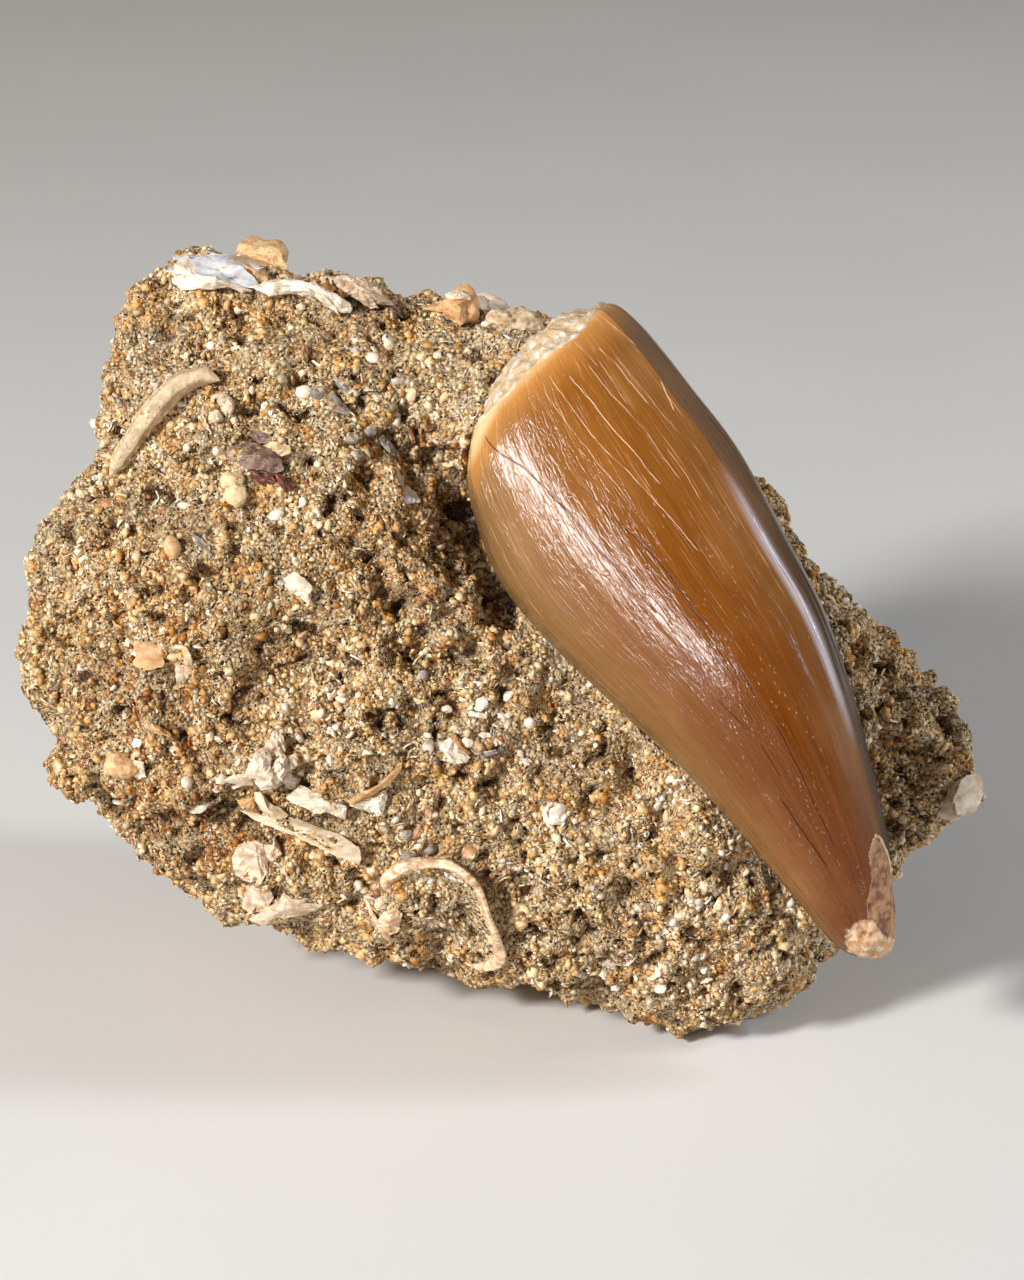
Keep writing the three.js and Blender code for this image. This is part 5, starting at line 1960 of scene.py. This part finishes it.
        Chip(((-13, 25.8), (-12.3, 25.8), (-11.9, 25.3), (-12.6, 25.1)), (-12.5, 25.5), (0.6, 0.3), 0.4),
        Chip(((-13.3, 17.3), (-12.3, 17.2), (-11.8, 16.5), (-12.5, 16.7), (-13.2, 16.9)),
             (-12.6, 17), (0.7, 0.35), 0.4, rough=0.1),
        Chip(((-8.5, 13.1), (-8.1, 12.9), (-7.6, 11.8), (-7.3, 11.3), (-7.7, 11.4), (-8.3, 12.2)),
             (-7.9, 12.1), (0.8, 0.35), 0.4),
        Chip(((-7.7, 15.5), (-7.3, 15.4), (-7, 14.4), (-7.3, 14.3)), (-7.3, 14.9), (0.7, 0.3), 0.4),
        Chip(((-6.8, 15.4), (-6.5, 15.4), (-6.5, 14.4), (-6.7, 14.4)), (-6.6, 14.9), (0.7, 0.3), 0.4),
        Chip(((-23.3, 21.8), (-23, 21.8), (-22.9, 21.2), (-23.2, 21.2)), (-23.1, 21.5), (0.5, 0.2), 0.4),
        Chip(((-30.5, 10.4), (-29.3, 10.4), (-29.2, 9.8), (-29.9, 9.6)), (-29.8, 10.1), (0.5, 0.25), 0.4),
        Chip(((-4.6, -6.9), (-4.1, -6.7), (-3.5, -7.6), (-2.9, -8.2), (-3.2, -8.3), (-3.9, -7.7)),
             (-3.8, -7.5), (0.9, 0.4), 0.4),
        Lump((-6, -12.6, 0.1), (0.3, 0.52, 0.32), 0, 0.2, 1.3, 28.0),
        Lump((-3, -15.4, 0.1), (0.6, 0.75, 0.45), -40, 0.25, 1.4, 29.0),
        Lump((-6.8, -13.9, 0.05), (0.28, 0.6, 0.3), -30, 0.2, 1.3, 30.0),
        Lump((-9.9, -18.5, 0.12), (0.32, 0.27, 0.28), 0, 0.1, 1.2, 31.0),
        Lump((-5.4, -11, 0.1), (0.22, 0.4, 0.25), 0, 0.2, 1.3, 32.0),
        Lump((-14.9, -4.5, 0.1), (0.5, 0.35, 0.3), 0, 0.2, 1.3, 33.0),
    ), dust_reach=0.3),
    Cluster("grey_bits", "grey_shell", "dark_stone", (
        Lump((-14.1, 17.9, 0.12), (0.55, 0.48, 0.42), 15, 0.15, 1.2, 34.0),
        Chip(((-13.7, 17.6), (-13, 18.1), (-12.3, 17.2), (-11.6, 16.6), (-11.8, 16.3), (-12.5, 16.4),
              (-13.4, 16.8)), (-12.7, 17.1), (0.7, 0.35), 0.6, rough=0.1),
        Chip(((-12.9, 19.2), (-12.3, 18.8), (-11, 17.9), (-11.3, 17.6), (-12.2, 17.9), (-12.8, 18.5)),
             (-12.1, 18.3), (0.5, 0.2), 0.5, rough=0.1),
        Chip(((-9.7, 14.9), (-9.3, 14.9), (-8.3, 13.7), (-8.1, 13.3), (-8.7, 13.4), (-9.5, 14.2)),
             (-9, 14.1), (0.7, 0.35), 0.5),
        Lump((-11.7, 14.6, 0.1), (0.65, 0.45, 0.4), 0, 0.2, 1.3, 35.0),
        Lump((-10.3, 15.2, 0.1), (0.6, 0.5, 0.4), 40, 0.2, 1.3, 36.0),
        Lump((-11.3, 13.3, 0.1), (0.6, 0.4, 0.35), 0, 0.2, 1.3, 37.0),
        Chip(((-23.3, 7.8), (-22.6, 7.5), (-21.8, 6.8), (-21.6, 6), (-22.3, 6.4), (-23, 7.2)),
             (-22.5, 7), (0.5, 0.2), 0.4),
        Lump((-6, -15.2, 0.12), (0.58, 0.45, 0.4), 20, 0.15, 1.3, 38.0),
        Chip(((-2.4, -8.1), (-0.5, -7.8), (-0.4, -8.1), (-2, -8.5)), (-1.4, -8.2), (0.7, 0.4), 0.4),
        Lump((-7.5, -15.7, 0.1), (0.7, 0.35, 0.35), 15, 0.2, 1.3, 39.0),
        Lump((-7.6, -14.1, 0.08), (0.5, 0.42, 0.35), 0, 0.15, 1.3, 40.0),
    ), dust_reach=0.3),
    Cluster("orange_chip", "honey_shell", "honey_shell", (
        ShellPlate((-26.1, -1.2, 0.25), 1.25, 1.0, 30, 6, -8, 0.4, 0.3, 0.25, seed=15.0),
        ShellPlate((-26.7, -0.6, 0.45), 0.7, 0.5, -30, 14, 0, 0.25, 0.2, 0.3, seed=16.0),
    ), "orange_shell"),
    Cluster("crescent", "cream_shell", "cream_shell", (
        ShellEdge(((-24.4, -0.5, 0.25, 0.14), (-23.6, -0.7, 0.45, 0.22), (-23.3, -1.5, 0.55, 0.30),
                   (-23.5, -2.3, 0.5, 0.26), (-23.9, -3.1, 0.2, 0.12)),
                  0.6, 0.2, 0.6, 0.06, 0.02, 0.4, 3.0, 40),
        ShellPlate((-23.9, -2.2, 0.2), 0.8, 0.6, 70, 20, 10, 0.25, 0.2, 0.3, seed=17.0),
    ), "crescent_shell"),
    Cluster("white_flake_folds", "white_shell", "white_shell", (
        ShellPlate((-15.3, 3.9, 0.3), 1.1, 0.7, -48, 24, 10, 0.3, 0.35, 0.3, seed=18.0),
        ShellPlate((-14.8, 3.3, 0.4), 0.8, 0.4, -60, -30, 0, 0.25, 0.25, 0.3, seed=19.0),
        *folds((-15.1, 3.7), (0.9, 0.7), 4, 0.4, 42, 60, 0.3),
    ), "white_flake"),
    Cluster("spot_shell", "white_shell", "bright_shell", (
        ShellEdge(((3.0, -11.7, 0.15, 0.12), (2.5, -12.3, 0.45, 0.2), (2.6, -13.0, 0.5, 0.24),
                   (3.1, -13.8, 0.3, 0.12)), 0.6, -0.2, 0.6, 0.05, 0.02, 0.5, 9.0, 36),
        ShellPlate((3.3, -12.6, 0.2), 0.85, 0.75, 20, 10, 20, 0.3, 0.3, 0.3, seed=39.0),
        *folds((3.7, -12.6), (0.7, 0.7), 5, 0.3, 46, 60, 0.2),
    ), "white_spot_shell"),
    Cluster("corner_plates", "white_shell", "white_shell", (
        Core("corner_shell"),
        ShellPlate((33.6, -11.4, 0.4), 1.7, 1.0, 48, 10, 30, 0.5, 0.3, 0.25, seed=40.0),
        ShellPlate((32.6, -12.4, 0.3), 1.3, 0.8, 20, -10, 20, 0.4, 0.3, 0.25, seed=41.0),
    ), "corner_shell"),
)

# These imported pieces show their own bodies, so the block keeps clear of them.
BARE_NODES = ("oyster_shell", "shell_ledge", "top_shell_rim", "tan_stone", "honey_shell",
              "white_shell_chip", "corner_shell")

# Each patch of coarse grains is u, v and its radius in mm.
COARSE_PATCHES = ((-26.0, -9.0, 6.0), (-2.0, -5.5, 5.0), (-14.0, -7.0, 5.0), (-7.0, 14.0, 4.0),
                  (14.0, -22.0, 7.0), (-20.0, -17.0, 4.5), (28.0, -10.0, 6.0), (-29.0, 5.0, 4.0),
                  (-12.0, 1.0, 3.5))

# Each region of sand painted darker or lighter is u, v, its radius in mm and the change of tone.
# The darker ones are painted shade on a mound turned from the light, in a hollow and under the
# ledge; the lighter ones are painted light where the face turns to it, and at the upper left
# corner partly paler sand.
LIGHT_AND_SHADE_REGIONS = ((-27.0, -4.5, 8.0, -0.34), (-22.5, -14.8, 4.0, -0.22), (-7.4, 2.9, 4.0, -0.16),
                (11.0, -21.5, 8.0, 0.14), (-5.0, -19.2, 3.5, 0.20), (-25.9, 19.5, 4.5, 0.14))

GRAIN_LAYERS = (
    GrainLayer("fine_grit", GrainKind.GRIT, "sand_grains", 5.6, 0.0, (0.09, 0.34), 0.60, 0.75, 0.60, 0.30,
               (0.10, 0.90), 11),
    GrainLayer("back_grit", GrainKind.GRIT, "sand_grains", 0.0, 3.6, (0.18, 0.38), 0.65, 0.75, 0.7, 0.25,
               (0.10, 0.90), 17),
    GrainLayer("coarse_grit", GrainKind.STONE, "sand_grains", 1.5, 0.35, (0.22, 0.58), 0.6, 0.7, 0.75, 0.30,
               (0.15, 0.95), 12),
    # The white specks are partly shell grit and partly painted glints on the sand.
    GrainLayer("white_specks", GrainKind.SPECK, "shell_grains", 1.6, 0.4, (0.055, 0.11), 0.8, 0.8, 1.0, -0.3,
               (0.72, 0.88), 19),
    GrainLayer("shell_sticks", GrainKind.STICK, "shell_grains", 0.6, 0.2, (0.20, 0.55), 1.0, 1.0,
               0.4, -0.02, (0.0, 0.95), 13),
    GrainLayer("shell_flakes", GrainKind.FLAKE, "shell_grains", 0.5, 0.06, (0.20, 0.66), 1.0, 0.8, 0.9, 0.05,
               (0.0, 1.0), 14),
    GrainLayer("worm_tubes", GrainKind.TUBE, "shell_grains", 0.08, 0.015, (0.16, 0.40), 0.7, 1.0, 0.6, 0.05,
               (0.3, 0.8), 15),
    GrainLayer("patch_stones", GrainKind.STONE, "round_grains", 1.4, 0.0, (0.22, 0.52), 0.65, 0.75, 0.7,
               0.30, (0.0, 0.75), 16, True),
    GrainLayer("patch_flakes", GrainKind.FLAKE, "shell_grains", 0.50, 0.0, (0.28, 0.75), 1.0, 0.8, 0.7,
               0.10, (0.1, 1.0), 18, True),
)

FINISHES = (
    RockFinish(),
    EnamelFinish(),
    FloorFinish(),
    GrainFinish("sand_grains", (
        (0.00, (88, 44, 14)), (0.12, (130, 82, 36)), (0.28, (176, 126, 64)), (0.48, (210, 172, 112)),
        (0.66, (230, 204, 154)), (0.80, (250, 236, 202)), (0.90, (178, 158, 126)), (1.00, (250, 244, 230)),
    ), 0.36),
    GrainFinish("shell_grains", (
        (0.00, (176, 120, 62)), (0.20, (216, 172, 112)), (0.45, (236, 208, 162)), (0.65, (246, 230, 200)),
        (0.85, (255, 252, 244)), (1.00, (178, 168, 158)),
    ), 0.36),
    GrainFinish("round_grains", (
        (0.00, (112, 66, 32)), (0.12, (176, 118, 62)), (0.30, (214, 174, 120)), (0.50, (232, 208, 168)),
        (0.70, (248, 238, 218)), (0.85, (200, 186, 166)), (1.00, (150, 140, 130)),
    ), 0.34),
    ShellFinish("grey_shell", (222, 220, 220), (164, 164, 170), (158, 120, 84), 0.35, 0.9, 0.35),
    ShellFinish("white_shell", (226, 210, 188), (204, 180, 150), (150, 104, 62), stained=0.4),
    ShellFinish("bright_shell", (240, 228, 210), (220, 200, 172), (180, 136, 90), 0.4, 0.6, 0.3),
    ShellFinish("cream_shell", (216, 196, 166), (194, 166, 130), (158, 110, 66), stained=0.35),
    ShellFinish("pearl_shell", (238, 210, 176), (190, 142, 98), (150, 96, 54), 0.35, 0.3, 0.4),
    ShellFinish("pink_shell", (222, 200, 174), (190, 160, 128), (138, 94, 58), stained=0.5),
    ShellFinish("honey_shell", (214, 172, 120), (186, 134, 82), stained=0.35),
    ShellFinish("bone", (206, 184, 152), (176, 144, 108), roughness=0.7, stained=0.5),
    NoduleFinish("grey_bone", (206, 182, 146), (168, 140, 106), 0.55),
    NoduleFinish("tan_stone", (220, 184, 136), (192, 144, 92), 0.45),
    NoduleFinish("cream_nodule", (226, 202, 158), (204, 168, 118), 0.45),
    NoduleFinish("umber_nodule", (140, 112, 94), (94, 68, 54), 0.4),
    NoduleFinish("rust_nodule", (116, 62, 38), (70, 34, 20), 0.2),
    NoduleFinish("amber_stone", (186, 134, 82), (130, 82, 46), 0.3),
    NoduleFinish("dark_stone", (156, 146, 132), (104, 92, 80), 0.4),
)


# --- Studio ---------------------------------------------------------------------------


@dataclass(frozen=True)
class SoftLight:
    """A square soft light, aimed at the middle of the face.

    Its direction is from the face, along u, v and w, and its length lies along the tooth.
    """

    name: str
    direction: Triple
    distance: float
    size: Pair
    power: float
    colour: Triple = (1.0, 1.0, 1.0)
    lengthwise: Triple = (-0.5, 0.866, 0.0)
    diffuse: bool = True
    shine: bool = True

    def build(self) -> None:
        """Hang the light."""
        light = bpy.data.lights.new(self.name, "AREA")
        light.shape = "RECTANGLE"
        light.size, light.size_y = self.size
        light.energy = self.power
        light.color = self.colour
        lamp = bpy.data.objects.new(self.name, light)
        way = (FACE.matrix().to_3x3() @ Vector(self.direction)).normalized()
        lamp.location = FACE.matrix().translation + way * self.distance
        length = FACE.matrix().to_3x3() @ Vector(self.lengthwise)
        side = length.cross(way).normalized()
        lamp.rotation_euler = Matrix((side, way.cross(side), way)).transposed().to_euler()
        lamp.visible_diffuse = self.diffuse
        lamp.visible_glossy = self.shine
        bpy.context.scene.collection.objects.link(lamp)


@dataclass(frozen=True)
class Studio:
    """The pale floor, the soft lights and the camera square to the shown face."""

    lights: tuple[SoftLight, ...] = (
        SoftLight("key", (-0.64, 0.22, 0.73), 0.60, (0.08, 0.10), 5.0, shine=False),
        SoftLight("tooth_sheet", (-0.66, 0.06, 0.75), 0.60, (0.14, 1.15), 25.0, diffuse=False,
                  lengthwise=(-0.59, 0.44, -0.67)),
        SoftLight("right_strip", (0.91, 0.40, 0.22), 0.55, (0.05, 0.22), 1.8, (0.86, 0.92, 1.0)),
        SoftLight("front_fill", (0.1, 0.3, 1.0), 0.80, (0.6, 0.6), 0.2, shine=False),
    )
    floor_half: float = 1.0
    camera_distance: float = 0.300
    nearest: float = 0.01
    lens: float = 112.5
    sensor: float = 36
    surroundings: float = 0.125
    surroundings_colour: Triple = (1.0, 0.86, 0.70)

    def build(self, floor_finish: Material) -> None:
        """Make the floor, lights, surroundings and camera."""
        shape = bmesh.new()
        bmesh.ops.create_grid(shape, x_segments=4, y_segments=4, size=self.floor_half)
        mesh = mesh_of(shape, "floor")
        mesh.materials.append(floor_finish)
        link_piece("floor", mesh)
        for light in self.lights:
            light.build()
        world = bpy.data.worlds.new("surroundings")
        world.use_nodes = True
        background = world.node_tree.nodes["Background"].inputs
        background["Color"].default_value = (*self.surroundings_colour, 1)
        background["Strength"].default_value = self.surroundings
        bpy.context.scene.world = world
        bpy.context.scene.view_settings.view_transform = "Standard"
        lens = bpy.data.cameras.new("camera")
        lens.lens = self.lens
        lens.sensor_width = self.sensor
        lens.clip_start = self.nearest
        camera = bpy.data.objects.new("camera", lens)
        camera.location = FACE.matrix().translation + FACE.out() * self.camera_distance
        camera.rotation_euler = FACE.matrix().to_euler()
        bpy.context.scene.collection.objects.link(camera)
        bpy.context.scene.camera = camera


def main() -> None:
    """Build every piece in order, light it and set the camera."""
    logging.basicConfig(level=logging.INFO, format="%(message)s")
    finishes = {finish.name: finish.build() for finish in FINISHES}
    Studio().build(finishes["pale_floor"])

    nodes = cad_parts
    small = [name for name in nodes if name not in (BLOCK_NODE, TOOTH_NODE)]
    bare = [nodes[name] for name in BARE_NODES]
    built = [Tooth().build(finishes["tooth_enamel"])]
    block = RockBlock()
    block.build(finishes["sand_rock"], tree_of([nodes[TOOTH_NODE]]),
                tree_of([nodes[name] for name in small]), tree_of(bare), small)
    heights = BlockHeights(tree_of([block.piece]), tree_of([block.piece, *bare]))
    built.extend(piece.build(finishes, heights) for piece in (*WORN_PIECES, *CLUSTERS))
    clear_of = tree_of(built)
    built.append(block.piece)
    bed = GrainBed(block)
    for layer in GRAIN_LAYERS:
        built.extend(bed.strew(layer, finishes[layer.finish], clear_of))
    LOG.info("all pieces: %d triangles", sum(count_triangles(piece) for piece in built))


if __name__ == "__main__":
    main()
